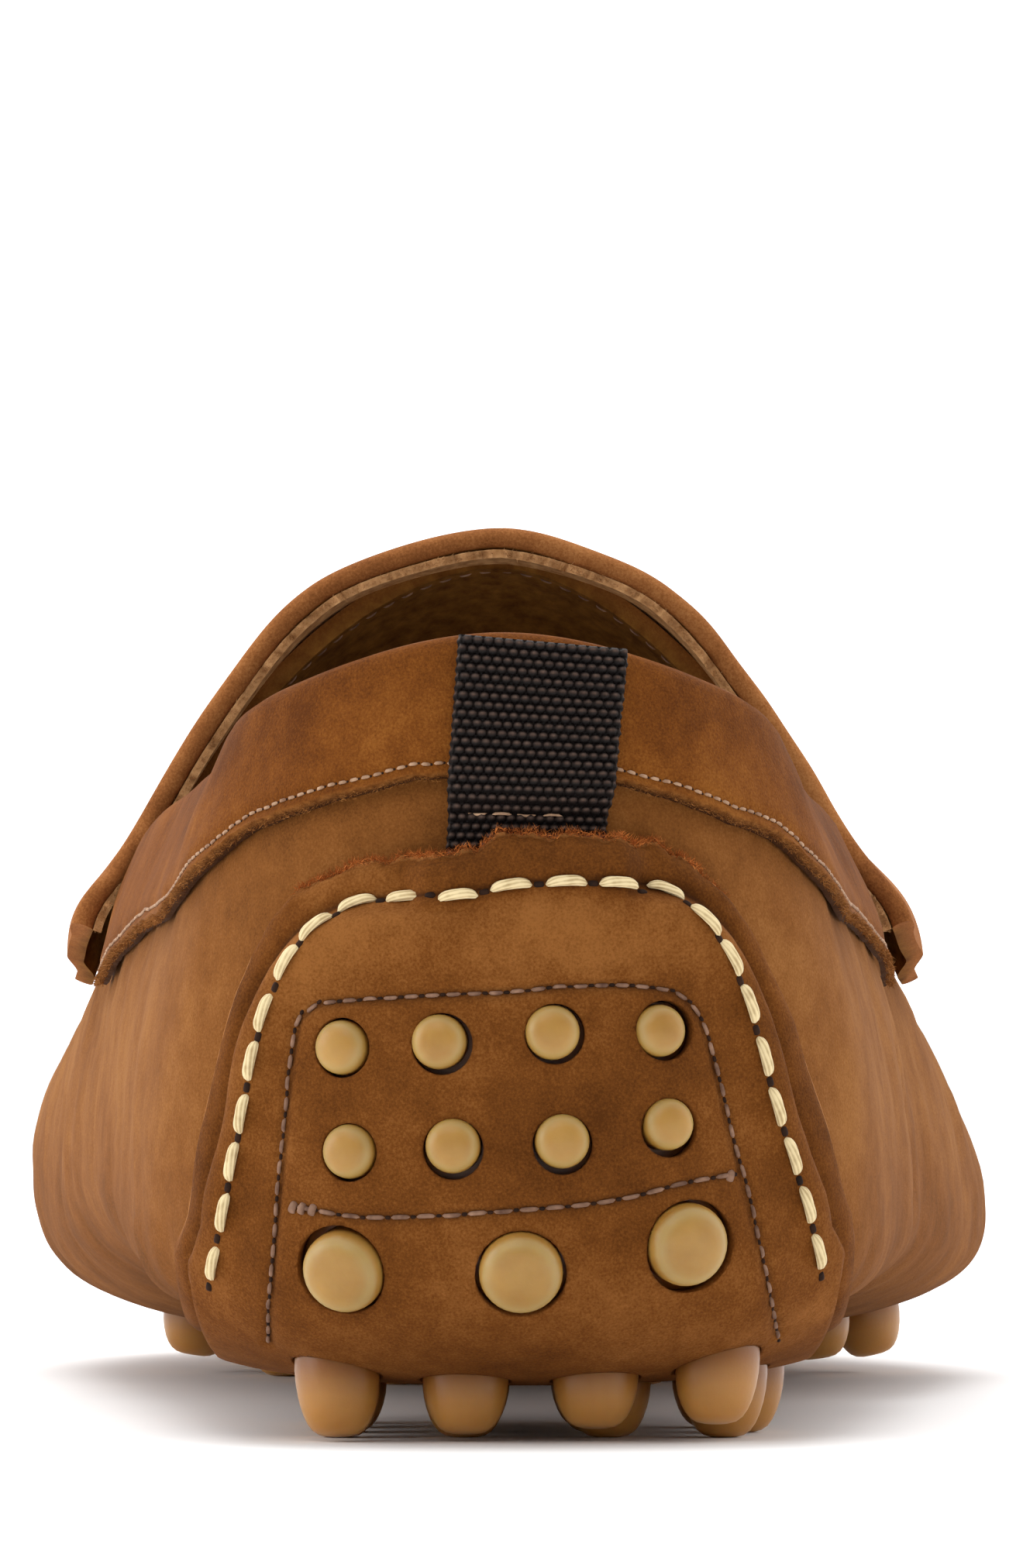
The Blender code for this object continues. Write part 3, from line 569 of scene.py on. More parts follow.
def gum_rubber():
    """Translucent natural rubber: lighter inside, honey coloured at the edges; a painted highlight
    rings each short pebble's dome, the long pebbles' lighter honey colour is painted light, and the
    darker roots and sheet are painted shade.
    """
    made = Finish("gum_rubber")
    clouds = made.spread(made.noise(260, 3, 0.5), 0.3, 0.7)
    body = made.mix(clouds, colour(154, 112, 44), colour(172, 132, 62))
    # Painted highlight: a paler ring round each short pebble's dome
    body = made.mix(made.mark("rim"), body, colour(168, 146, 92))
    # Painted light: a lighter honey colour on the long pebbles
    body = made.mix(made.mark("honey"), body, colour(184, 128, 58))
    # Painted shade: darker at the roots and on the sheet
    body = made.mix(made.mark("root"), body, colour(120, 66, 16))
    dust = made.bump(made.noise(1800, 3, 0.6), 0.00005, 0.5)
    made.link(Base_Color=body, Normal=dust)
    made.set(Roughness=0.42, Subsurface_Weight=0.55, Subsurface_Radius=(1.0, 0.55, 0.2),
             Subsurface_Scale=0.002, Specular_IOR_Level=0.4, Coat_Weight=0.12, Coat_Roughness=0.3)
    return made.material


def woven():
    """Dark brown webbing: glints painted on the crowns of the weave, and painted shade, near black,
    between them.
    """
    made = Finish("webbing")
    yarn = made.spread(made.noise(2400, 3, 0.6, made.stretched(1.0, 1.0, 0.35)), 0.3, 0.7)
    crown = made.mix(yarn, colour(62, 46, 38), colour(92, 72, 62))
    # Painted glints on the crowns, painted shade near black between them
    body = made.mix(made.mark("crown"), colour(10, 5, 4), crown)
    made.link(Base_Color=body, Normal=made.bump(yarn, 0.00005, 0.6))
    made.set(Roughness=0.6, Specular_IOR_Level=0.15)
    return made.material


def spun(name, dark, light):
    """Waxed thread; the strand mark paints highlight on its filaments and shade between them."""
    made = Finish(name)
    shade = made.sum(made.noise(900, 2, 0.5), made.mark("strand"), 0.5)
    made.link(Base_Color=made.mix(made.spread(shade, 0.25, 0.85), dark, light))
    made.set(Roughness=0.65, Specular_IOR_Level=0.25)
    return made.material


def plain(name, dark, light, scale=900):
    """Two colours in a fine mottle."""
    made = Finish(name)
    body = made.mix(made.spread(made.noise(scale, 3, 0.6), 0.3, 0.7), dark, light)
    made.link(Base_Color=body)
    made.set(Roughness=0.85, Specular_IOR_Level=0.2)
    return made.material


def white_floor():
    """Pale floor that stays white up to the horizon."""
    made = Finish("floor")
    made.set(Base_Color=(0.95, 0.95, 0.95, 1), Roughness=0.9, Specular_IOR_Level=0.1)
    return made.material


RAW_DARK = colour(88, 50, 18)
RAW_LIGHT = colour(150, 98, 48)
LINING_DARK = colour(78, 44, 10)
LINING_LIGHT = colour(126, 84, 34)
# Colour of the painted shade
PIT = colour(42, 20, 8)
# Colour of cut edges, lightened by a painted highlight
CUT_EDGE = colour(186, 128, 72)

FINISHES = {
    "nubuck": nubuck("nubuck", colour(94, 55, 20), colour(120, 73, 31), colour(141, 93, 47),
                     streaks=0.04),
    # Darker copy of the nubuck for the heel flap: partly its own leather, partly painted shade
    "flap": nubuck("nubuck_flap", colour(80, 43, 11), colour(108, 62, 21), colour(136, 86, 40)),
    # Darker copy of the nubuck for the collar: painted shade
    "collar": nubuck("nubuck_collar", colour(82, 42, 10), colour(111, 62, 19), colour(138, 85, 33),
                     grain=1.4, streaks=0.03),
    # Lighter copy of the nubuck for the strap: painted light on its arch, which faces up
    "strap": nubuck("strap_leather", colour(108, 62, 30), colour(142, 88, 46), colour(170, 115, 67),
                    grain=0.6),
    "rubber": gum_rubber(),
    "webbing": woven(),
    "cream": spun("cream_thread", colour(160, 130, 84), colour(226, 206, 160)),
    "mauve": spun("mauve_thread", colour(84, 56, 42), colour(160, 124, 100)),
    "tan": spun("tan_thread", colour(124, 90, 66), colour(200, 164, 132)),
    "fibre": plain("raw_fibre", colour(104, 60, 24), colour(168, 112, 58)),
    "bright_fibre": plain("bright_fibre", colour(150, 78, 28), colour(205, 125, 60)),
    "pale_fibre": plain("pale_fibre", colour(150, 102, 58), colour(205, 158, 108)),
    # Dark marks for the stitch holes: painted shade
    "hole": plain("stitch_hole", colour(26, 13, 6), colour(48, 26, 12)),
    "lining": plain("footbed", LINING_DARK, LINING_LIGHT, 700),
    "floor": white_floor(),
}


def both_sides(side):
    """Positions up the outer side, then back down the inner side."""
    return np.concatenate([side, RIB_COUNT - side[-2::-1]])


def angle_per_mm(u, phi):
    step = 0.01
    run = np.linalg.norm(place(u, phi + step) - place(u, phi - step), axis=-1) / (2 * step)
    return 1 / run


# The raised seam round the toes
LIP_HEIGHT = 1.6
SEAM_START_Y = 132
SEAM_FULL_Y = 144
# The lip's section: millimetres from the seam, and share of its height
LIP_SECTION = ((3.6, 0.0), (2.8, 0.04), (2.2, 0.3), (1.85, 0.72), (1.5, 0.95), (1.0, 1.03),
               (0.5, 0.96), (0.2, 0.75), (0.1, 0.35))


def lip_rise(u):
    return LIP_HEIGHT * smooth_step(along("base_y", u), SEAM_START_Y, SEAM_FULL_Y)


# Soft creases of the upper: depth, width and line, x, y and height on the skin
UPPER_CREASES = (
    (0.55, 2.6, ((37.5, 84, 33), (38.3, 88, 27), (38.4, 90, 23), (37.6, 84, 18))),
    (-0.35, 2.4, ((39.8, 97, 30), (40.5, 100, 24), (39.5, 98, 17))),
    (0.6, 1.8, ((32.4, 33.7, 17.3), (31.5, 32, 14), (30, 34, 11))),
    (-0.5, 1.8, ((34.5, 40, 17), (33.5, 42, 12.5), (32, 44, 10))),
    (0.5, 2.0, ((36.8, 52, 18), (35.3, 54, 13), (33, 56, 10))),
    (0.6, 1.8, ((-31.4, 27, 17.5), (-30.3, 28, 14), (-29.6, 32, 11))),
    (-0.5, 1.8, ((-34, 40, 18), (-32.4, 40, 13), (-31, 42, 10.5))),
    (0.45, 2.2, ((-39, 66, 20), (-37, 68, 14), (-34.5, 68, 11))),
    (0.4, 3.0, ((-45.5, 140, 27), (-47, 146, 21), (-44, 146, 13))),
    (0.35, 3.0, ((46.5, 150, 27), (48, 156, 20), (46, 160, 12))),
    (0.4, 3.2, ((-42, 118, 36), (-44.5, 126, 28), (-44.5, 128, 20))),
    (0.4, 3.2, ((41.5, 122, 34), (44.5, 130, 26), (44.5, 132, 18))),
    (0.35, 3.5, ((-38.5, 92, 43), (-41.5, 98, 34), (-41.5, 100, 24))),
)


# Pieces of leather wall have this many columns from rib to rib
FINE = 12
KEEL_ANGLE = -76
UPPER_ROWS = 56
# The apron goes back to this rib, and up to this angle in the middle of the instep
APRON_RIB = 5.12
APRON_TOP_ANGLE = 87
APRON_ROWS = 40
# Between these lengths the apron's relief fades in, ahead of the strap
APRON_RELIEF_Y = (134, 150)


def lipped(u, start, rows, side):
    """The seam, and angles and lifts from a start angle to the seam's lip, below it or above."""
    edge = phi_at_height(u, along("edge", u))
    per_mm = angle_per_mm(u, edge)
    foot = edge + side * LIP_SECTION[0][0] * per_mm
    angles = [start + (foot - start) * share for share in np.linspace(0, 1, rows)]
    lifts = [np.zeros_like(u)] * rows
    for inset, share in LIP_SECTION[1:]:
        angles.append(edge + side * inset * per_mm)
        lifts.append(lip_rise(u) * share)
    return edge, per_mm, np.stack(angles, axis=1), np.stack(lifts, axis=1)


def make_wall(name, node, u, angles, lifts, closed=False, **marks):
    """A wall of the shoe as thick as its leather, with the lining's look inside."""
    outer = skin(u[:, None], angles, lifts)
    inner = skin(u[:, None], angles, np.full_like(lifts, -WALL))
    points, faces = shell(outer, inner, closed=closed, laddered=True)
    inside = two_skins(0, 1, lifts.shape)
    make_piece(name, points, faces, "nubuck", node, "nubuck", inside=inside, **marks)


def make_upper():
    u = both_sides(np.linspace(0, TOE_TIP, FINE * TOE_TIP + 1))[:-1]
    edge, per_mm, angles, lifts = lipped(u, np.radians(KEEL_ANGLE), UPPER_ROWS, -1)
    base = skin(u[:, None], angles)
    height = base[..., 2]
    near_seam = smooth_step(angles, (edge - 6 * per_mm)[:, None], (edge - 2 * per_mm)[:, None])
    relief = creased(0.16 * ripple(base, 16, 3) + 0.07 * ripple(base, 6, 4), base, UPPER_CREASES)
    relief = relief * (smooth_step(height, 7, 12) * (1 - near_seam))
    # Painted highlight across the middle of the flanks, painted shade under the collar band and down
    # towards the sole
    tone = 0.55 * smooth_step(height, 16, 30) * (1 - smooth_step(height, 34, 52)) - 0.2
    make_wall("upper_sides", "upper", u, angles, lifts + relief, closed=True,
              tone=two_skins(tone, tone, tone.shape))


def make_apron():
    u = both_sides(np.linspace(APRON_RIB, TOE_TIP, FINE * 8 + 1))
    _, _, angles, lifts = lipped(u, np.radians(APRON_TOP_ANGLE), APRON_ROWS, 1)
    base = skin(u[:, None], angles)
    relief = 0.12 * ripple(base, 18, 8) * smooth_step(base[..., 1], *APRON_RELIEF_Y)
    make_wall("apron_plug", "apron", u, angles, lifts + relief)


# The collar band ends at this rib, behind the strap. Its section over the topline and down inside:
# lift off the last, and millimetres above the topline
BAND_RIB = 4.96
BAND_COLUMNS = 300
BAND_ROWS = 40
BAND_OUT = GAP + BAND_THICK
BAND_TURN = 2.2
BAND_OVER = ((BAND_OUT, -BAND_TURN), (BAND_OUT, -1.2), (1.5, -0.35), (1.0, 0.25), (0.3, 0.55),
             (-0.5, 0.6), (-1.2, 0.4), (-1.8, -0.1), (-2.15, -0.9), (-2.25, -2.0), (-2.2, -5.0),
             (-2.2, -9.0))
# The raw lower edge: millimetres up from it, lift, and how raw it looks
BAND_EDGE = ((0, GAP, 1), (0, GAP + 0.6, 1), (0.1, BAND_OUT - 0.35, 0.9),
             (0.3, BAND_OUT - 0.05, 0.5))
BAND_STITCH_IN = 1.15
# The lower edge is evened out over this many columns each way
BAND_EVEN = 15
BAND_CREASES = (
    (0.35, 1.8, ((24.5, 17, 58), (27, 22, 54), (28.5, 28, 50))),
    (-0.3, 1.6, ((22, 14, 60), (25.5, 22, 57), (27, 28, 54))),
    (0.3, 1.8, ((-27, 22, 56), (-30, 30, 51), (-31, 36, 48))),
)


def make_band():
    u = np.linspace(-BAND_RIB, BAND_RIB, BAND_COLUMNS)
    top = phi_at_height(u, along("edge", u))
    per_mm = angle_per_mm(u, top)
    wander = 0.16 * ripple(skin(u, top), 7, 12) + 0.08 * ripple(skin(u, top), 2.2, 13)
    kernel = np.hanning(2 * BAND_EVEN + 1) / np.hanning(2 * BAND_EVEN + 1).sum()
    low_edge = np.convolve(np.pad(along("band", u), BAND_EVEN, mode="edge"), kernel, mode="valid")
    bottom = phi_at_height(u, low_edge) + wander * per_mm
    columns = [(bottom + up * per_mm, lift, raw) for up, lift, raw in BAND_EDGE]
    start = BAND_EDGE[-1][0] * per_mm
    columns += [(bottom + start + (top - BAND_TURN * per_mm - bottom - start) * share, BAND_OUT, 0)
                for share in np.linspace(0, 1, BAND_ROWS)[1:-1]]
    columns += [(top + above * per_mm, lift, 0) for lift, above in BAND_OVER]
    angles, lifts, raw = (np.stack([0 * u + column[k] for column in columns], axis=1)
                          for k in range(3))
    base = skin(u[:, None], angles)
    from_seam = (angles - (bottom + BAND_STITCH_IN * per_mm)[:, None]) / per_mm[:, None]
    outside = lifts >= BAND_OUT - 0.01
    relief = (ridge(from_seam, -0.3, 0, 0.6) + 0.12 * ripple(base, 9, 14)) * outside
    relief = creased(relief, base, BAND_CREASES, outside)
    points = skin(u[:, None], angles, lifts + relief)
    # Painted shadow along the band's lower raw edge, where it stands off the upper
    pit = np.zeros(lifts.shape)
    pit[:, :3] = (0.95, 0.8, 0.25)
    faces = [grid_faces(*points.shape[:2])]
    # Painted shade: the collar band darkens up from its seam
    make_piece("collar_fold", points, faces, "collar", "collar_band", "nubuck", raw=raw,
               inside=lifts < -2.18, tone=-0.35 * smooth_step(from_seam, 2, 8), pit=pit)
    return Surface(points, faces), u, bottom, per_mm


# The saddle strap: the ribs of its back and front edges, and the heights of its ends there
STRAP_RIBS = (4.97, 6.07)
STRAP_ENDS = (45.0, 40.2)
STRAP_WIDTH = 24.0
STRAP_COUNT = 120
# The back edge is turned over in a roll; the front edge is cut and a little rounded
STRAP_ROLL = 1.05
STRAP_ROUND = 0.6
STRAP_WING_HEIGHT = 45.5
STRAP_WING = 2.6
STRAP_WING_SPREAD = 5.75
# The arch is fuller at its shoulders and flatter on top: height, spread and lift
STRAP_SHOULDER = (75.5, 6.0, 0.8)
STRAP_FLAT_TOP = (76.5, 83.5, -1.15)
# Both fade out between these lengths
STRAP_FADE_Y = (122, 128)
STRAP_MIDDLE = np.array([0, 112, 30])
STRAP_CREASES = (
    (0.5, 0.8, ((-36.5, 106, 56.5), (-35.5, 108, 54.5), (-36, 112, 52))),
    (0.35, 0.9, ((-40, 106, 52), (-39, 110, 50), (-40, 116, 48))),
    (0.35, 0.9, ((38, 106, 52.5), (38, 110, 50), (40, 116, 48))),
)
ARCH_TOP_ANGLE = 89.2


def strap_lift(u, phi):
    height = place(u, phi)[..., 2]
    at_back = 1 - smooth_step(along("base_y", u), *STRAP_FADE_Y)
    wing = np.exp(-((height - STRAP_WING_HEIGHT) / STRAP_WING_SPREAD) ** 2)
    middle, spread, fuller = STRAP_SHOULDER
    shoulder = fuller * np.exp(-((height - middle) / spread) ** 2)
    low, high, flatter = STRAP_FLAT_TOP
    top = flatter * smooth_step(height, low, high)
    return GAP + 0.1 + (STRAP_WING * wing + shoulder + top) * at_back


def strap_section():
    """Across the strap: millimetres from its back edge, and share of its thickness."""
    turn = np.radians(np.linspace(-90, 90, 13))
    back = [(STRAP_ROLL * (1 - math.cos(a)), 0.5 + 0.5 * math.sin(a)) for a in turn]
    straight = STRAP_WIDTH - STRAP_ROUND
    forward = np.linspace(STRAP_ROLL, straight, 34)[1:]
    front = [(straight + STRAP_ROUND * math.cos(a), 0.5 + 0.5 * math.sin(a))
             for a in np.radians(np.linspace(90, -90, 9))]
    return back + [(v, 1.0) for v in forward[:-1]] + front + [(v, 0.0) for v in forward[-2::-1]]


def arch(rib, end_height, count, lift_at):
    """A line over the instep between its ends on both sides, its points closer together there."""
    line = []
    for u, order in ((rib, 1), (RIB_COUNT - rib, -1)):
        end = float(phi_at_height(np.array(u), end_height))
        phi = end + (np.radians(ARCH_TOP_ANGLE) - end) * np.linspace(0, 1, count) ** 1.15
        u = np.full(count, u)
        line.append(skin(u, phi, lift_at(u, phi))[::order])
    return np.concatenate(line)


def make_strap():
    section = strap_section()
    loops = []
    for v, share in section:
        part = v / STRAP_WIDTH
        rib, end = (back + (front - back) * part for back, front in (STRAP_RIBS, STRAP_ENDS))
        thick = STRAP_THICK + 0.35 * (1 - smooth_step(v, 2.5, 6))
        loops.append(arch(rib, end, STRAP_COUNT,
                          lambda u, phi: strap_lift(u, phi) + share * thick))
    points = np.array(loops)
    relief = creased(0.1 * ripple(points, 12, 21), points, STRAP_CREASES)
    points = points + unit(points - STRAP_MIDDLE) * relief[..., None]
    columns, rows = points.shape[:2]
    ends = np.arange(columns)[None, :] * rows
    faces = [grid_faces(columns, rows, closed=True), ends, ends + rows - 1]
    under = [[float(share < 0.02)] * rows for _, share in section]
    make_piece("strap_over", points, faces, "strap", "saddle_strap", "strap_leather", inside=under)


# The raw layer under the strap's back edge: its rib and depths forward, lifts, end height and jag
RAW_RIB = 4.99
RAW_DEPTHS = (0, 0.06, 0.30)
RAW_LIFTS = (-0.55, 0.28)
RAW_END = 44.8
RAW_JAG = 0.32


def make_raw_layer():
    """The thin layer seen edge-on from behind, with fibres along its middle."""
    lifts = np.linspace(*RAW_LIFTS, 5)
    edge, behind, far = (
        np.array([arch(RAW_RIB + depth, RAW_END, 200,
                       lambda u, phi: strap_lift(u, phi) - GAP + lift) for lift in lifts])
        for depth in RAW_DEPTHS)
    jag = RAW_JAG * (ripple(edge[2], 2.2, 51) + 0.6 * ripple(edge[2], 0.9, 52))
    edge = edge + np.stack([0 * jag, jag, 0 * jag], axis=-1)[None]
    sheet = np.concatenate([far[:1], behind[:1], edge, behind[-1:], far[-1:]])
    make_piece("strap_raw_layer", sheet, [grid_faces(*sheet.shape[:2])], "pale_fibre",
               slot="strap_leather")
    edge_fuzz(edge[2], (0, -1.0, 0.1), 5000, 0.42, 0.07, 53, "strap_fuzz", "pale_fibre", 0.3, 0.9)


# The heel flap: x and height of its outline as seen from behind
FLAP_INNER = ((12.7, 29.2), (17.5, 29.0), (19.7, 28.1), (26.1, 27.1), (31.9, 25.8), (39.5, 23.6),
              (42.5, 22.4), (44.8, 21.2), (46.4, 20.1), (48.1, 18.5), (53.0, 17.0))
FLAP_OUTER = ((15.6, 29.4), (18.7, 29.6), (21.5, 28.3), (29.8, 26.0), (36.8, 23.8), (44.4, 20.3),
              (48.2, 17.6), (53.0, 16.8))
FLAP_TOP = ((-18.5, 48.1), (-17.0, 49.1), (-15.1, 50.0), (-13.3, 50.6), (-10.1, 51.0), (-6.6, 51.1),
            (-3.4, 51.7), (-1.6, 53.0), (2.4, 52.8), (6.3, 52.8), (8.8, 52.4), (12.4, 52.1),
            (14.0, 51.2), (15.8, 49.6), (17.2, 47.6))
FLAP_UNDER_HALF = 29.2
FLAP_FRONT_Y = 72.0
# It draws in this far towards its front edge, from this length on
FLAP_DRAW_IN = 4
FLAP_DRAW_Y = 58
FLAP_PUFF = RUBBER_THICK + FLAP_GAP
WEBBING_HALF = 6.8
# Rays to the heel's back and bottom start from this line across the shoe, y and height
HEEL_LINE = np.array([26.0, 20.0])


def webbing_centre(height):
    return 0.95 + (height - 52.3) * 0.07


def heel_rays(x, along_rows):
    """Rays to the heel: rows run from the front edge under it, round the corner and up."""
    x, value = np.broadcast_arrays(x, along_rows)
    starts, directions = np.zeros(x.shape + (3,)), np.zeros(x.shape + (3,))
    starts[..., 0] = x
    under, back = value < 0, value > 90
    starts[..., 1] = np.where(under, HEEL_LINE[0] - value, HEEL_LINE[0])
    starts[..., 2] = np.where(back, HEEL_LINE[1] + value - 90, HEEL_LINE[1])
    angle = np.radians(np.clip(value, 0, 90))
    directions[..., 1] = -np.sin(angle)
    directions[..., 2] = -np.cos(angle)
    return drape(starts, directions)


def flap_grid(rows, shares):
    """x, row value and inset from the outline of every point of the flap's fine grid."""
    top_x, top_z = np.array(FLAP_TOP).T
    top = np.interp(shares * np.where(shares < 0, -top_x[0], top_x[-1]), top_x, top_z)
    climb = (rows - 90) / (rows[-1] - 90)
    value = np.where(rows > 90, 90 + climb * (top[:, None] - HEEL_LINE[1]), rows)
    under = FLAP_UNDER_HALF - FLAP_DRAW_IN * smooth_step(HEEL_LINE[0] - rows, FLAP_DRAW_Y,
                                                         FLAP_FRONT_Y)
    x = np.zeros_like(value)
    for k, share in enumerate(shares):
        heights, halves = np.array(FLAP_INNER if share < 0 else FLAP_OUTER).T
        up_back = np.interp(HEEL_LINE[1] + value[k] - 90, heights, halves)
        corner = (FLAP_UNDER_HALF, FLAP_UNDER_HALF + 0.1, np.interp(HEEL_LINE[1], heights, halves))
        round_corner = np.interp(rows, (0, 60, 90), corner)
        x[k] = share * np.where(rows > 90, up_back, np.where(rows > 0, round_corner, under))
    inset = np.where(x < 0, -x[0], x[-1]) - np.abs(x)
    above = np.where(value > 90, top[:, None] - (HEEL_LINE[1] + value - 90), 99)
    before = np.where(value < 0, FLAP_FRONT_Y - (HEEL_LINE[0] - value), 99)
    return x, value, np.minimum(np.minimum(inset, above), before)


# The hand-sewn line's stitches, x and height seen from behind, and where it ends
HAND_STITCHES = (
    (-26.3, 15.8), (-25.4, 20.2), (-24.6, 24.7), (-23.7, 28.9), (-22.9, 33.5), (-21.8, 37.7),
    (-19.8, 42.1), (-17.3, 45.1), (-13.7, 47.1), (-9.5, 47.6), (-5.0, 47.7), (-0.3, 48.6),
    (4.5, 48.9), (9.1, 48.8), (13.2, 48.2), (16.6, 45.8), (18.8, 42.5), (20.4, 38.5), (21.7, 33.9),
    (22.8, 29.5), (24.2, 25.2), (25.5, 20.9), (26.5, 16.8),
)
HAND_ENDS = ((-26.8, 13.7), (26.9, 14.6))
# Machine-sewn: the line round the pebbles and the line across
WINDOW = (
    (-21.6, 8.6), (-21.5, 11.7), (-20.9, 18.4), (-20.6, 22.7), (-20.0, 28.1), (-19.6, 32.9),
    (-18.9, 36.9), (-18.0, 37.7), (-16.8, 38.5), (-12.2, 38.9), (-5.6, 39.3), (-0.3, 39.5),
    (3.4, 39.9), (8.7, 40.1), (11.8, 39.9), (13.9, 39.5), (15.4, 38.3), (16.6, 36.2),
    (17.8, 32.0), (19.0, 26.9), (20.3, 22.3), (21.3, 17.8), (22.3, 13.2), (23.1, 9.4),
)
CROSS_LINE = (
    (-19.2, 20.9), (-17.5, 20.6), (-13.4, 20.0), (-7.1, 20.1), (-0.3, 20.6), (5.1, 21.0),
    (10.2, 21.8), (14.7, 22.9), (17.5, 23.4), (19.0, 23.6),
)
# Where the cross line's thread is sewn over itself
KNOTS = ((-19.2, 20.8), (-18.4, 20.7), (-17.5, 20.6), (18.7, 23.5))


def inside_outline(x, value, outline):
    """Whether points lie inside a closed outline, by the even-odd rule."""
    inside = np.zeros(np.shape(x), bool)
    for (x0, v0), (x1, v1) in zip(outline, outline[1:] + outline[:1]):
        if v0 == v1:
            continue
        crossed = (value < v0) != (value < v1)
        inside ^= crossed & (x < x0 + (value - v0) * (x1 - x0) / (v1 - v0))
    return inside


def flap_value(line):
    """Row values for x, height positions seen on the back of the heel."""
    out = []
    for x, height in line:
        if height > HEEL_LINE[1]:
            out.append((x, 90 + height - HEEL_LINE[1]))
        else:
            drop = math.atan2(HEEL_LINE[1] - height, HEEL_LINE[0] - 5)
            out.append((x, 90 - math.degrees(drop)))
    return out


# How far the leather bulges over each corner pebble
OVER_CORNER = (1.2, 0.5, 0.5, 1.2)
# and how far back and up from it
CORNER_BULGE = np.array((0, -4.0, 3.0))
# The hand-sewn line runs on round under the heel this far from the flap's edge
SEAM_IN = 2.4
SEAM_ROWS = (-44, -20, 0, 30)
# Height, distance inside the hand-sewn line and width of the swell beside it and of its groove
SWELL = (0.75, 3.4, 2.0)
GROOVE = (-0.45, -0.1, 0.55)
# The same for the painted shade along both kinds of seam
SEAM_PIT = (0.7, -0.05, 0.24)
MACHINE_PIT = (0.6, 0, 0.3)


def make_flap():
    rows = np.concatenate([np.linspace(HEEL_LINE[0] - FLAP_FRONT_Y, 0, 90)[:-1],
                           np.linspace(0, 90, 70), np.linspace(90, 122, 92)[1:]])
    shares = np.linspace(-1, 1, 150)
    x, value, inset = flap_grid(rows, shares)
    points, outs = heel_rays(x, value)
    height = points[..., 2]
    on_back = smooth_step(value, 60, 95)
    sewn = flap_value((HAND_ENDS[0],) + HAND_STITCHES + (HAND_ENDS[1],))
    sewn_x = FLAP_UNDER_HALF - SEAM_IN
    outline = ([(-sewn_x, row) for row in SEAM_ROWS] + smooth_line(sewn, 0.8).tolist()
               + [(sewn_x, row) for row in SEAM_ROWS[::-1]])
    seam_points, seam_outs = heel_rays(*np.array(smooth_line(outline, 1.0)).T)
    seam = seam_points + seam_outs * (HEEL_GAP + FLAP_THICK)
    base = points + outs * (HEEL_GAP + FLAP_THICK)
    signed = distance_to(base, seam) * np.where(inside_outline(x, value, outline), 1, -1)
    puff = smooth_step(signed, -0.1, 2.0)
    beside = np.abs(x - webbing_centre(height)) - WEBBING_HALF
    over_loop = (1 - smooth_step(beside, 0.8, 3.2)) * smooth_step(height, 44, 47) * on_back
    under_side = HEEL_GAP * smooth_step(inset, 0.0, 2.0) + 0.05
    under_side = under_side + FLAP_PUFF * np.maximum(puff, over_loop)
    thick = FLAP_THICK - 0.7 * (1 - smooth_step(inset, 0.0, 0.8))
    lift = under_side + thick
    lift += ridge(signed, *SWELL) * on_back + ridge(signed, *GROOVE)
    base = points + outs * lift[..., None]
    surface = Surface(base, [grid_faces(*base.shape[:2])])
    window = surface.from_behind(smooth_line(WINDOW, 0.8))[0]
    cross = surface.from_behind(smooth_line(CROSS_LINE, 0.8))[0]
    relief = trough(base, window, 0.42, 0.5) + trough(base, cross, 0.36, 0.5)
    machine_sewn = np.minimum(distance_to(base, window), distance_to(base, cross))
    crest = surface.from_behind(smooth_line([(x, z - 0.75) for x, z in WINDOW[7:17]], 0.8))[0]
    relief += trough(base, crest, -0.22, 0.5)
    margin = (1 - smooth_step(inset, 1.5, 3.5)) * (0.35 + 0.65 * smooth_step(height, 40, 48))
    relief += margin * on_back * (0.07 * ripple(base, 3.4, 31) + 0.05 * ripple(base, 1.6, 32))
    relief += 0.12 * ripple(base, 11, 33) * on_back
    for (point, *_), over in zip(heel_pebbles()[len(BACK_PEBBLES):], OVER_CORNER):
        away = np.linalg.norm(base - point - CORNER_BULGE, axis=-1)
        relief += ridge(away, over, 0, 4.2)
    outer = base + outs * relief[..., None]
    edge_jag = (1 - smooth_step(inset, 0, 1.2)) * on_back
    outer[..., 2] += edge_jag * (0.22 * ripple(base, 2.6, 34) + 0.12 * ripple(base, 0.9, 35)) * (
        smooth_step(height, 42, 50))
    inner = points + outs * under_side[..., None]
    both, faces = shell(outer, inner)
    shape = inset.shape
    raw = two_skins(0, 1, shape)
    # A light line along the outline on the back: the cut edge's own colour and a painted highlight
    cut = two_skins((inset < 0.3) * (0.75 * on_back), 0, shape)
    # Painted highlight on the pillow between the hand-sewn line and the window's top; the leather is
    # also darker outside the hand-sewn line than inside it
    pillow = smooth_step(height, 39, 43) * smooth_step(signed, 0, 2.0) * on_back
    shade = 0.3 * smooth_step(signed, 0, 2.5) - 0.25 + 0.55 * pillow
    tone = two_skins(shade, shade, shape)
    # Painted shade along the hand-sewn and machine-sewn lines
    crease = np.maximum(ridge(signed, *SEAM_PIT) * on_back, ridge(machine_sewn, *MACHINE_PIT))
    pit = two_skins(crease, 0, shape)
    patch = make_piece("heel_patch", both, faces, "flap", "heel_flap", "nubuck", smooth=50,
                       raw=raw, cut=cut, tone=tone, pit=pit)
    punch(patch, heel_pebbles(), HEEL_GAP + RUBBER_THICK * 0.5)
    return Surface(outer, [grid_faces(*outer.shape[:2])]), outer[:, -1]


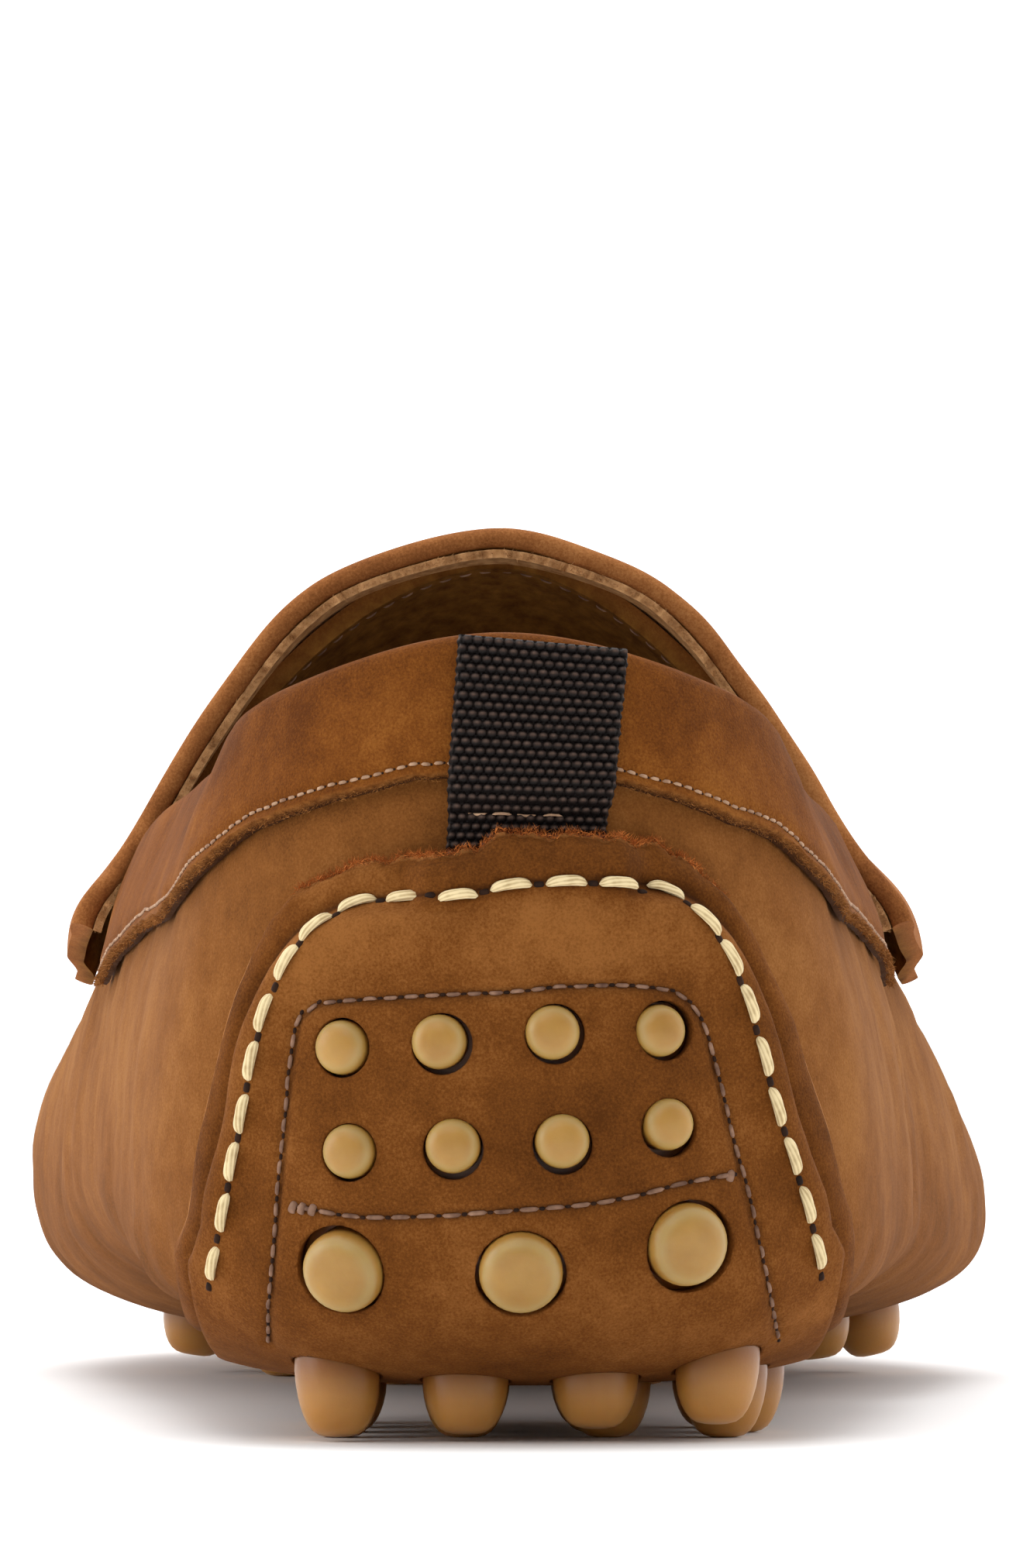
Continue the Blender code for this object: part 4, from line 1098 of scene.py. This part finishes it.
# Shift of each hole in the flap across and up from its pebble, and its clearance
HOLE_SHIFTS = (
    (0.12, -0.05, 0.30), (0.30, -0.20, 0.36), (0.20, -0.15, 0.30), (0.38, 0.00, 0.40),
    (0.10, -0.10, 0.22), (0.05, -0.30, 0.32), (0.02, -0.30, 0.30), (0.05, -0.32, 0.36),
    (-0.25, 0.05, 0.55), (0.00, -0.25, 0.45), (0.32, -0.22, 0.60),
)
# Pebbles, in the part's own places. On the back: x, height, radius and how far they stand out
BACK_PEBBLES = (
    (-13.7, 34.6, 2.3, 1.3), (-6.1, 35.1, 2.3, 1.3), (3.0, 35.9, 2.3, 1.3), (11.4, 36.0, 2.2, 1.3),
    (-13.1, 25.7, 2.3, 1.3), (-5.0, 26.2, 2.3, 1.3), (3.8, 26.6, 2.3, 1.3), (12.1, 28.0, 2.2, 1.3),
    (-13.6, 16.4, 3.5, 1.8), (0.5, 16.8, 3.5, 1.8), (13.6, 18.2, 3.5, 1.8),
)
# At the corner: x and height of the tip
CORNER_PEBBLES = ((-15.5, 0.5), (-4.3, 0.7), (7.1, 1.2), (17.7, 1.6))
CORNER_PEBBLE_Y = 15.5
CORNER_PEBBLE_LEAN = 8
# Under the heel: y and the places across
UNDER_PEBBLES = (
    (24.0, (-15.6, -4.4, 8.3, 18.6)), (35.0, (-15.2, -4.2, 7.4, 20.4)),
    (46.0, (-15.6, -4.5, 7.0, 18.0)), (56.0, (-15.6, -4.6, 7.0)),
)
UNDER_RADIUS = 3.6
HOLE_CLEAR = 0.42
# Under the forefoot: y, first and last place across, and count
FORE_PEBBLES = (
    (154.0, -12.0, 13.0, 3), (166.0, -20.0, 20.0, 4), (178.0, -23.8, 31.0, 6),
    (190.0, -33.0, 36.5, 7), (202.0, -24.0, 30.0, 6), (214.0, -26.0, 21.0, 5),
    (226.0, -22.0, 14.0, 4), (238.0, -17.0, 8.0, 3),
)
FORE_GAP = 0.4
UPRIGHT_TILT = 7.5
EDGE_TIP_HEIGHT = 1.8


def drape_down(x, y):
    return drape((x, y, HEEL_LINE[1]), (0, 0, -1))


def heel_pebbles():
    """Each pebble of the heel: point and normal on the last, tip, tip axis and radius."""
    made = []
    for x, height, radius, stand in BACK_PEBBLES:
        if height > HEEL_LINE[1]:
            start, direction = (x, HEEL_LINE[0], height), (0, -1, 0)
        else:
            start = (x, *HEEL_LINE)
            direction = unit(np.array((0, 6 - HEEL_LINE[0], height - HEEL_LINE[1])))
        point, out = drape(start, direction)
        tip = point + out * (HEEL_GAP + FLAP_PUFF + FLAP_THICK + stand)
        made.append((point, out, tip, out, radius))
    lean = math.radians(CORNER_PEBBLE_LEAN)
    axis = np.array((0, -math.sin(lean), -math.cos(lean)))
    for x, tip_height in CORNER_PEBBLES:
        point, out = drape_down(x, CORNER_PEBBLE_Y)
        made.append((point, out, point + axis * (point[2] - tip_height) / math.cos(lean), axis,
                     UNDER_RADIUS))
    for y, row in UNDER_PEBBLES:
        for x in row:
            point, out = drape_down(x, y)
            made.append((point, out, point * (1, 1, 0), np.array((0, 0, -1.0)), UNDER_RADIUS))
    return made


def fore_pebbles():
    """Each pebble of the forefoot, in the same terms."""
    made = []
    upright = -math.cos(math.radians(UPRIGHT_TILT))
    for y, first, last, count in FORE_PEBBLES:
        for x in np.linspace(first, last, count):
            point, out = drape_down(x, y)
            if out[2] < upright:
                tip, axis = point * (1, 1, 0), np.array((0, 0, -1.0))
            else:
                tip, axis = point - out * (point[2] - EDGE_TIP_HEIGHT) / out[2], out
            made.append((point, out, tip, axis, UNDER_RADIUS))
    return made


# A pebble's side from root to tip: share of its length, share of its radius
PEBBLE_PROFILE = ((0.0, 1.0), (0.4, 1.04), (0.6, 1.04), (0.7, 1.01), (0.79, 0.95), (0.87, 0.85),
                  (0.93, 0.71), (0.97, 0.54), (0.992, 0.33), (1.0, 0.07))
# The longer ones under the shoe are like thimbles
THIMBLE_PROFILE = ((0.0, 1.0), (0.2, 1.04), (0.38, 1.05), (0.52, 1.02), (0.65, 0.96), (0.77, 0.87),
                   (0.86, 0.77), (0.93, 0.65), (0.975, 0.5), (0.995, 0.32), (1.0, 0.06))


def lathe(root, root_axis, tip, tip_axis, radius, profile, sides=32):
    """A turned form from root to tip as points and faces, and each ring's share of the length."""
    turns = np.linspace(0, 2 * np.pi, sides, endpoint=False)
    rings = []
    for share, wide in profile:
        axis = unit(root_axis * (1 - share) + tip_axis * share)
        first = unit(np.array((1.0, 0, 0)) - axis * axis[0])
        second = np.cross(axis, first)
        centre = root + (tip - root) * share
        rings.append(centre + radius * wide * (first * np.cos(turns)[:, None]
                                               + second * np.sin(turns)[:, None]))
    points = np.array(rings).transpose(1, 0, 2).reshape(-1, 3)
    count = len(profile)
    end = np.arange(sides)[None, :] * count
    faces = [grid_faces(sides, count, closed=True), end, end + count - 1]
    shares = np.tile([share for share, _ in profile], sides)
    return points, faces, shares


def punch(piece, pebbles, root_lift):
    """Cuts a clear round hole through a piece for each pebble."""
    parts = []
    for k, (point, out, tip, axis, radius) in enumerate(pebbles):
        across, up, clear = HOLE_SHIFTS[k] if k < len(HOLE_SHIFTS) else (0, 0, HOLE_CLEAR)
        shift = np.array((across, 0, up))
        root = point + out * (root_lift - 0.6) + shift
        far = tip + axis * 1.5 + shift
        wide = radius * 1.03 + clear
        parts.append(lathe(root, out, far, axis, wide, ((0.0, 1.0), (1.0, 0.97)), 28)[:2])
    points, faces = joined(parts)
    drill = make_piece(piece.name + "_holes", points, faces, "fibre")
    cut = piece.modifiers.new("holes", "BOOLEAN")
    cut.operation = "DIFFERENCE"
    cut.solver = "EXACT"
    cut.object = drill
    graph = bpy.context.evaluated_depsgraph_get()
    mesh = bpy.data.meshes.new_from_object(piece.evaluated_get(graph))
    piece.modifiers.clear()
    piece.data = mesh
    bpy.data.objects.remove(drill)


def make_heel_rubber():
    rows = np.concatenate([np.linspace(-38, 0, 24)[:-1], np.linspace(0, 90, 24),
                           np.linspace(90, 108.5, 14)[1:]])
    shares = np.linspace(-1, 1, 25)
    half = np.interp(rows, (-38, -22, 0, 90, 108.5), (18.5, 23.0, 23.0, 20.5, 16.5))
    points, outs = heel_rays(shares[:, None] * half, rows)
    plate = shell(points + outs * (HEEL_GAP + RUBBER_THICK), points + outs * HEEL_GAP)
    rubber_piece("heel_pebbles", "heel_rubber", plate, heel_pebbles(), HEEL_GAP + 0.5)


# The forefoot's sheet: y, reach to the inner side and reach to the outer side
FORE_RUBBER = (
    (146.0, 15.0, 17.0), (154.0, 23.0, 24.0), (164.0, 31.5, 31.5),
    (177.0, 38.0, 38.5), (190.0, 41.0, 42.0), (203.0, 39.5, 37.0), (216.0, 36.5, 32.0),
    (228.0, 31.0, 25.0), (238.0, 25.0, 18.0), (245.0, 18.0, 11.0),
)


def make_fore_rubber():
    length, inner_half, outer_half = np.array(FORE_RUBBER).T
    y = np.linspace(length[0], length[-1], 50)
    shares = np.linspace(-1, 1, 41)[:, None]
    x = shares * np.where(shares > 0, np.interp(y, length, outer_half),
                          np.interp(y, length, inner_half))
    starts = np.stack([x, y + 0 * x, HEEL_LINE[1] + 0 * x], axis=-1)
    points, outs = drape(starts, (0, 0, -1))
    under = WALL + FORE_GAP
    plate = shell(points - outs * under, points - outs * (under + RUBBER_THICK))
    rubber_piece("forefoot_pebbles", "forefoot_rubber", plate, fore_pebbles(), -(under + 0.5))


def rubber_piece(name, node, plate, pebbles, root_lift):
    """A rubber sheet with its pebbles, marked for painted shade by how deep each place is, a painted
    highlight ring on the short pebbles and painted light on the long ones.
    """
    parts = [plate]
    roots = [np.ones(len(plate[0]))]
    rims = [np.zeros(len(plate[0]))]
    honeys = [np.zeros(len(plate[0]))]
    for point, out, tip, axis, radius in pebbles:
        root = point + out * root_lift
        long = tip[2] < 3
        points, faces, shares = lathe(root, out, tip, axis, radius,
                                      THIMBLE_PROFILE if long else PEBBLE_PROFILE)
        parts.append((points, faces))
        # Painted shade at each pebble's root and over the sheet, painted highlight ring on the short
        # domes, painted light on the long pebbles
        roots.append(1 - smooth_step(shares, 0.2, 0.75))
        ring = smooth_step(shares, 0.72, 0.8) * (1 - smooth_step(shares, 0.86, 0.97))
        rims.append(ring * (0 if long else 0.6))
        honeys.append(np.full(len(shares), 0.8 if long else 0))
    points, faces = joined(parts)
    make_piece(name, points, faces, "rubber", node, "gum_rubber", smooth=45,
               root=np.concatenate(roots), rim=np.concatenate(rims), honey=np.concatenate(honeys))


# The pull loop's height at its end and at its inner top corner, and its fall across the top
LOOP_BOTTOM = 49.4
LOOP_TOP = 70.25
LOOP_FALL = 0.1
# It steps out over the collar band between these heights
LOOP_STEP = (54.2, 57.2)
BAND_CLEAR = BAND_THICK + 2 * GAP
# The weave: bumps across and rows of bumps up the pull loop, on a thinner cloth
WEAVE_ACROSS = 16.5
WEAVE_ROWS = 26
WEAVE_HEIGHT = 0.4
CLOTH_THICK = 0.7


def make_loop():
    shares = np.linspace(-1, 1, 180)[:, None]
    climb = np.linspace(0, 1, 230)
    top = LOOP_TOP - LOOP_FALL * (shares + 1) * WEBBING_HALF
    height = LOOP_BOTTOM + (top - LOOP_BOTTOM) * climb
    x = webbing_centre(height) + shares * WEBBING_HALF
    points, outs = drape(np.stack([x, HEEL_LINE[0] + 0 * x, height], axis=-1), (0, -1, 0))
    lift = GAP + (BAND_CLEAR - GAP) * smooth_step(height, *LOOP_STEP)
    across = (shares + 1) / 2 * WEAVE_ACROSS
    row = climb[None] * WEAVE_ROWS
    across = across + 0.5 * (np.floor(row) % 2)
    bump_x = (across % 1 - 0.5) / 0.52
    bump_z = (row % 1 - 0.5) / 0.5
    crown = np.sqrt(np.clip(1 - bump_x ** 2 - bump_z ** 2, 0, 1))
    # A painted highlight on the upper side of each bump of the weave, as if lit from above
    glint = np.exp(-(bump_x / 0.62) ** 2 - ((bump_z - 0.22) / 0.38) ** 2)
    border = smooth_step(1 - np.abs(shares), 0, 0.05)
    cloth = CLOTH_THICK + WEAVE_HEIGHT * crown * (0.4 + 0.6 * border) - 0.45 * (1 - border)
    outer = points + outs * (lift + cloth)[..., None]
    selvedge = np.where(np.abs(shares) > 0.97, 0.06 * np.sin(row * 2 * np.pi), 0)
    outer[..., 0] += selvedge * np.sign(shares)
    both, faces = shell(outer, points + outs * lift[..., None])
    make_piece("pull_tab", both, faces, "webbing", "pull_loop", "webbing",
               crown=two_skins(glint, 0, crown.shape))
    return Surface(outer, [grid_faces(*outer.shape[:2])])


def make_insole():
    u = both_sides(np.linspace(0, TOE_TIP, 6 * TOE_TIP + 1))[:-1]
    columns, angles = np.meshgrid(u, np.radians(np.linspace(KEEL_ANGLE, -46, 9)), indexing="ij")
    on_rubber = smooth_step(place(columns, angles)[..., 1], 106, 126)
    under = WALL + GAP + (FORE_GAP + RUBBER_THICK) * on_rubber
    top, bottom = (skin(columns, angles, -under - thick) for thick in (0, INSOLE_THICK))
    points, faces = shell(top, bottom, closed=True, laddered=True)
    make_piece("footbed", points, faces, "lining", "insole", "lining")


def stitch_row(surface, line, pitch, length, radius, hole):
    """Machine stitches along x, z positions seen from behind, with a dark mark between each, painted
    shade for its hole.
    """
    path, _ = surface.from_behind(smooth_line(line, 0.4))
    points, ahead = spaced(path, pitch)
    behind = np.tile((0, -1.0, 0), (len(points), 1))
    hits, outs = surface.nearest(points, behind)
    hole_hits, hole_outs = surface.nearest(points + ahead * pitch / 2, behind)
    made = thread(hits, ahead, outs, length, radius, 8, 7, lift=0.7)
    # Painted shade for each hole between stitches
    pits = thread(hole_hits, ahead, hole_outs, pitch - length + 0.2, hole, 8, 5, lift=-0.1,
                  sink=0.5)
    return made, pits


HAND_RADIUS = 0.49
HAND_LENGTH = 3.7
# Sides, rings, filaments and twist of each
HAND_DETAIL = (36, 17, 7, 0.5)


def make_hand_stitches(surface):
    centres, outs = surface.from_behind(HAND_STITCHES)
    ends, _ = surface.from_behind(HAND_ENDS)
    line = np.concatenate([ends[:1], centres, ends[1:]])
    ahead = unit(line[2:] - line[:-2])
    centres = centres + outs * 0.25
    made = thread(centres, ahead, outs, HAND_LENGTH, HAND_RADIUS, *HAND_DETAIL, lift=0.35, sink=0.7)
    between = np.concatenate([ends[:1], (centres[1:] + centres[:-1]) / 2, ends[1:]])
    hits, hole_outs = surface.nearest(between, np.tile((0, -1.0, 0), (len(between), 1)))
    tangents = np.concatenate([ahead[:1], unit(centres[1:] - centres[:-1]), ahead[-1:]])
    # Painted shade for the holes between the hand stitches
    holes = thread(hits, tangents, hole_outs, 1.1, 0.32, 12, 7, lift=-0.1, sink=0.5)
    return made, holes


# The stitches of the raised seam: first rib, distance from its ridge, pitch and length
SEAM_RIB = 6.35
SEAM_BESIDE = 1.75
SEAM_PITCH = 4.4
SEAM_LENGTH = 3.1
TOE_MIDDLE = np.array((-2, 190, 14))


def make_seam_stitches():
    """Plain hand stitches along both sides of the raised seam round the toes."""
    parts = []
    for side in (-1, 1):
        u = np.linspace(SEAM_RIB, RIB_COUNT - SEAM_RIB, 600)
        edge = phi_at_height(u, along("edge", u))
        phi = edge + side * SEAM_BESIDE * angle_per_mm(u, edge)
        points, ahead = spaced(skin(u, phi, lip_rise(u) * 0.66), SEAM_PITCH)
        outs = unit(unit(points - TOE_MIDDLE) + side * np.array((0, 0, 0.8)))
        parts.append(thread(points, ahead, outs, SEAM_LENGTH, HAND_RADIUS, *HAND_DETAIL))
    return joined(parts)


def edge_fuzz(path, outs, count, length, width, seed, name, finish, scatter, spread=0.7):
    """Short fibres scattered along a raw edge; outs is one direction, or one for each point."""
    outs = np.broadcast_to(outs, path.shape)
    dice = np.random.default_rng(seed)
    at = dice.uniform(0, len(path) - 1.001, count)
    low = at.astype(int)
    share = (at - low)[:, None]
    points = path[low] * (1 - share) + path[low + 1] * share
    normals = unit(outs[low] * (1 - share) + outs[low + 1] * share)
    ahead = unit(path[low + 1] - path[low] + 1e-9)
    points = points + scatter * dice.uniform(-1, 1, (count, 3))
    hairs, faces = fibres(points, ahead, normals, length, width, seed + 1, spread)
    make_piece(name, hairs, faces, finish)


def make_hand_sewing(flap):
    hand, holes = make_hand_stitches(flap)
    points, faces = joined([hand, make_seam_stitches()])
    sides, rings = HAND_DETAIL[:2]
    # Painted highlight on the filaments, painted shade between them
    marks = strands(len(points) // (sides * rings), *HAND_DETAIL)
    make_piece("hand_stitches", points, faces, "cream", strand=marks)
    return holes


# The band's stitches face away from this point inside the shoe
BAND_MIDDLE = np.array((0, 110, 40))
LOOP_STITCHES = tuple((x, 55.0 - 0.02 * (x + 4)) for x in (-4.4, -1.5, 1.5, 5.4))


def make_machine_sewing(flap, loop, band, u, bottom, per_mm):
    """The flap's, the band's and the loop's stitches; returns the dark marks of painted shade for the
    holes of the first two.
    """
    window, window_holes = stitch_row(flap, WINDOW, 1.85, 1.35, 0.19, 0.17)
    cross, cross_holes = stitch_row(flap, CROSS_LINE, 2.25, 1.8, 0.21, 0.18)
    points, outs = flap.from_behind(KNOTS)
    knots = thread(points, np.tile(unit(np.array((0.35, 0, 1.0))), (len(KNOTS), 1)), outs,
                   1.3, 0.36, 12, 9, lobes=3, twist=0.8)
    path = skin(u, bottom + BAND_STITCH_IN * per_mm, BAND_OUT - 0.15)
    points, ahead = spaced(path, 1.15)
    away = unit(points - BAND_MIDDLE)
    hits, outs = band.nearest(points, away)
    band_thread = thread(hits, ahead, outs, 0.95, 0.16, 7, 5, lift=0.7)
    hits, outs = band.nearest(points + ahead * 0.5, away)
    # Painted shade for the band's stitch holes
    band_holes = thread(hits, ahead, outs, 0.3, 0.12, 7, 5, lift=-0.1, sink=0.5)
    make_piece("machine_stitches", *joined([window, cross, knots]), "mauve")
    make_piece("band_stitches", *band_thread, "tan")
    loop_thread, _ = stitch_row(loop, LOOP_STITCHES, 2.4, 1.8, 0.15, 0.2)
    make_piece("pull_tab_stitches", *loop_thread, "tan")
    return [window_holes, cross_holes, band_holes]


# The stitches across the inside, just ahead of the apron's back edge: rib, end height, pitch
LINING_RIB = APRON_RIB + 0.05
LINING_END = 47.0
LINING_PITCH = 2.0
LINING_MIDDLE = np.array((0, 118, 30))


def make_lining_stitches():
    line = arch(LINING_RIB, LINING_END, 160, lambda u, phi: -WALL - 0.05)
    points, ahead = spaced(line, LINING_PITCH)
    made = thread(points, ahead, unit(LINING_MIDDLE - points), 1.3, 0.12, 7, 7)
    make_piece("lining_stitches", *made, "mauve")


def build_shoe():
    make_upper()
    make_apron()
    band, u, bottom, per_mm = make_band()
    make_strap()
    flap, flap_top = make_flap()
    make_heel_rubber()
    make_fore_rubber()
    loop = make_loop()
    make_insole()
    hand_holes = make_hand_sewing(flap)
    machine_holes = make_machine_sewing(flap, loop, band, u, bottom, per_mm)
    # The dark hole marks are painted shade
    make_piece("stitch_holes", *joined([hand_holes, *machine_holes]), "hole")
    away = unit(normal(u, bottom) + np.array((0, 0, -0.5)))
    edge_fuzz(skin(u, bottom, BAND_OUT - 0.5), away, 9000, 0.38, 0.06, 41, "band_fuzz", "fibre",
              0.35, 0.8)
    edge_fuzz(flap_top, unit(np.array((0, -0.45, 1.0))), 3500, 0.6, 0.07, 43, "patch_fuzz",
              "bright_fibre", 0.3)
    make_raw_layer()
    make_lining_stitches()


# The sky is dimmer behind the camera than beyond the shoe: directions along y, then strengths
SKY = (-0.8, 0.15, 0.3, 1.65)
# Soft lights: name, place, what they point at, size and power
LIGHTS = (
    ("top", (-0.1, 0.4, 1.3), (0, 0, 0), 1.2, 12),
    ("front", (-0.3, -1.0, 0.9), (0, 0, 0.03), 0.6, 2.5),
    ("left", (-1.5, -0.4, 0.5), (0, 0, 0.03), 0.8, 6),
    ("right", (1.5, -0.3, 0.5), (0, 0, 0.03), 0.8, 0.8),
)
# Straight behind the heel, low, with a long lens
CAMERA_PLACE = (0.00073, -1.0406, 0.038)
CAMERA_UP = 1.243
LENS = 238.5


def make_stage():
    """White floor and soft studio light."""
    bpy.ops.mesh.primitive_plane_add(size=60, location=(0, 0, 0))
    floor = bpy.context.object
    floor.name = "floor"
    floor.data.materials.append(FINISHES["floor"])
    for name, where, target, size, power in LIGHTS:
        data = bpy.data.lights.new(name, "AREA")
        data.size = size
        data.energy = power
        light = bpy.data.objects.new(name, data)
        light.location = where
        aim = Vector(target) - Vector(where)
        light.rotation_euler = aim.to_track_quat("-Z", "Y").to_euler()
        bpy.context.scene.collection.objects.link(light)
    world = bpy.data.worlds.new("studio")
    world.use_nodes = True
    nodes, links = world.node_tree.nodes, world.node_tree.links
    nodes["Background"].inputs["Color"].default_value = (1, 1, 1, 1)
    where = nodes.new("ShaderNodeTexCoord")
    split = nodes.new("ShaderNodeSeparateXYZ")
    fade = nodes.new("ShaderNodeMapRange")
    for name, value in zip(("From Min", "From Max", "To Min", "To Max"), SKY):
        fade.inputs[name].default_value = value
    links.new(where.outputs["Generated"], split.inputs[0])
    links.new(split.outputs["Y"], fade.inputs["Value"])
    links.new(fade.outputs[0], nodes["Background"].inputs["Strength"])
    bpy.context.scene.world = world
    bpy.context.scene.view_settings.view_transform = "Standard"
    bpy.context.scene.view_settings.look = "None"


def make_camera():
    data = bpy.data.cameras.new("camera")
    data.lens = LENS
    data.sensor_width = 36
    data.clip_end = 200
    camera = bpy.data.objects.new("camera", data)
    camera.location = CAMERA_PLACE
    camera.rotation_euler = (math.radians(90 + CAMERA_UP), 0, 0)
    bpy.context.scene.collection.objects.link(camera)
    bpy.context.scene.camera = camera


build_shoe()
make_stage()
make_camera()
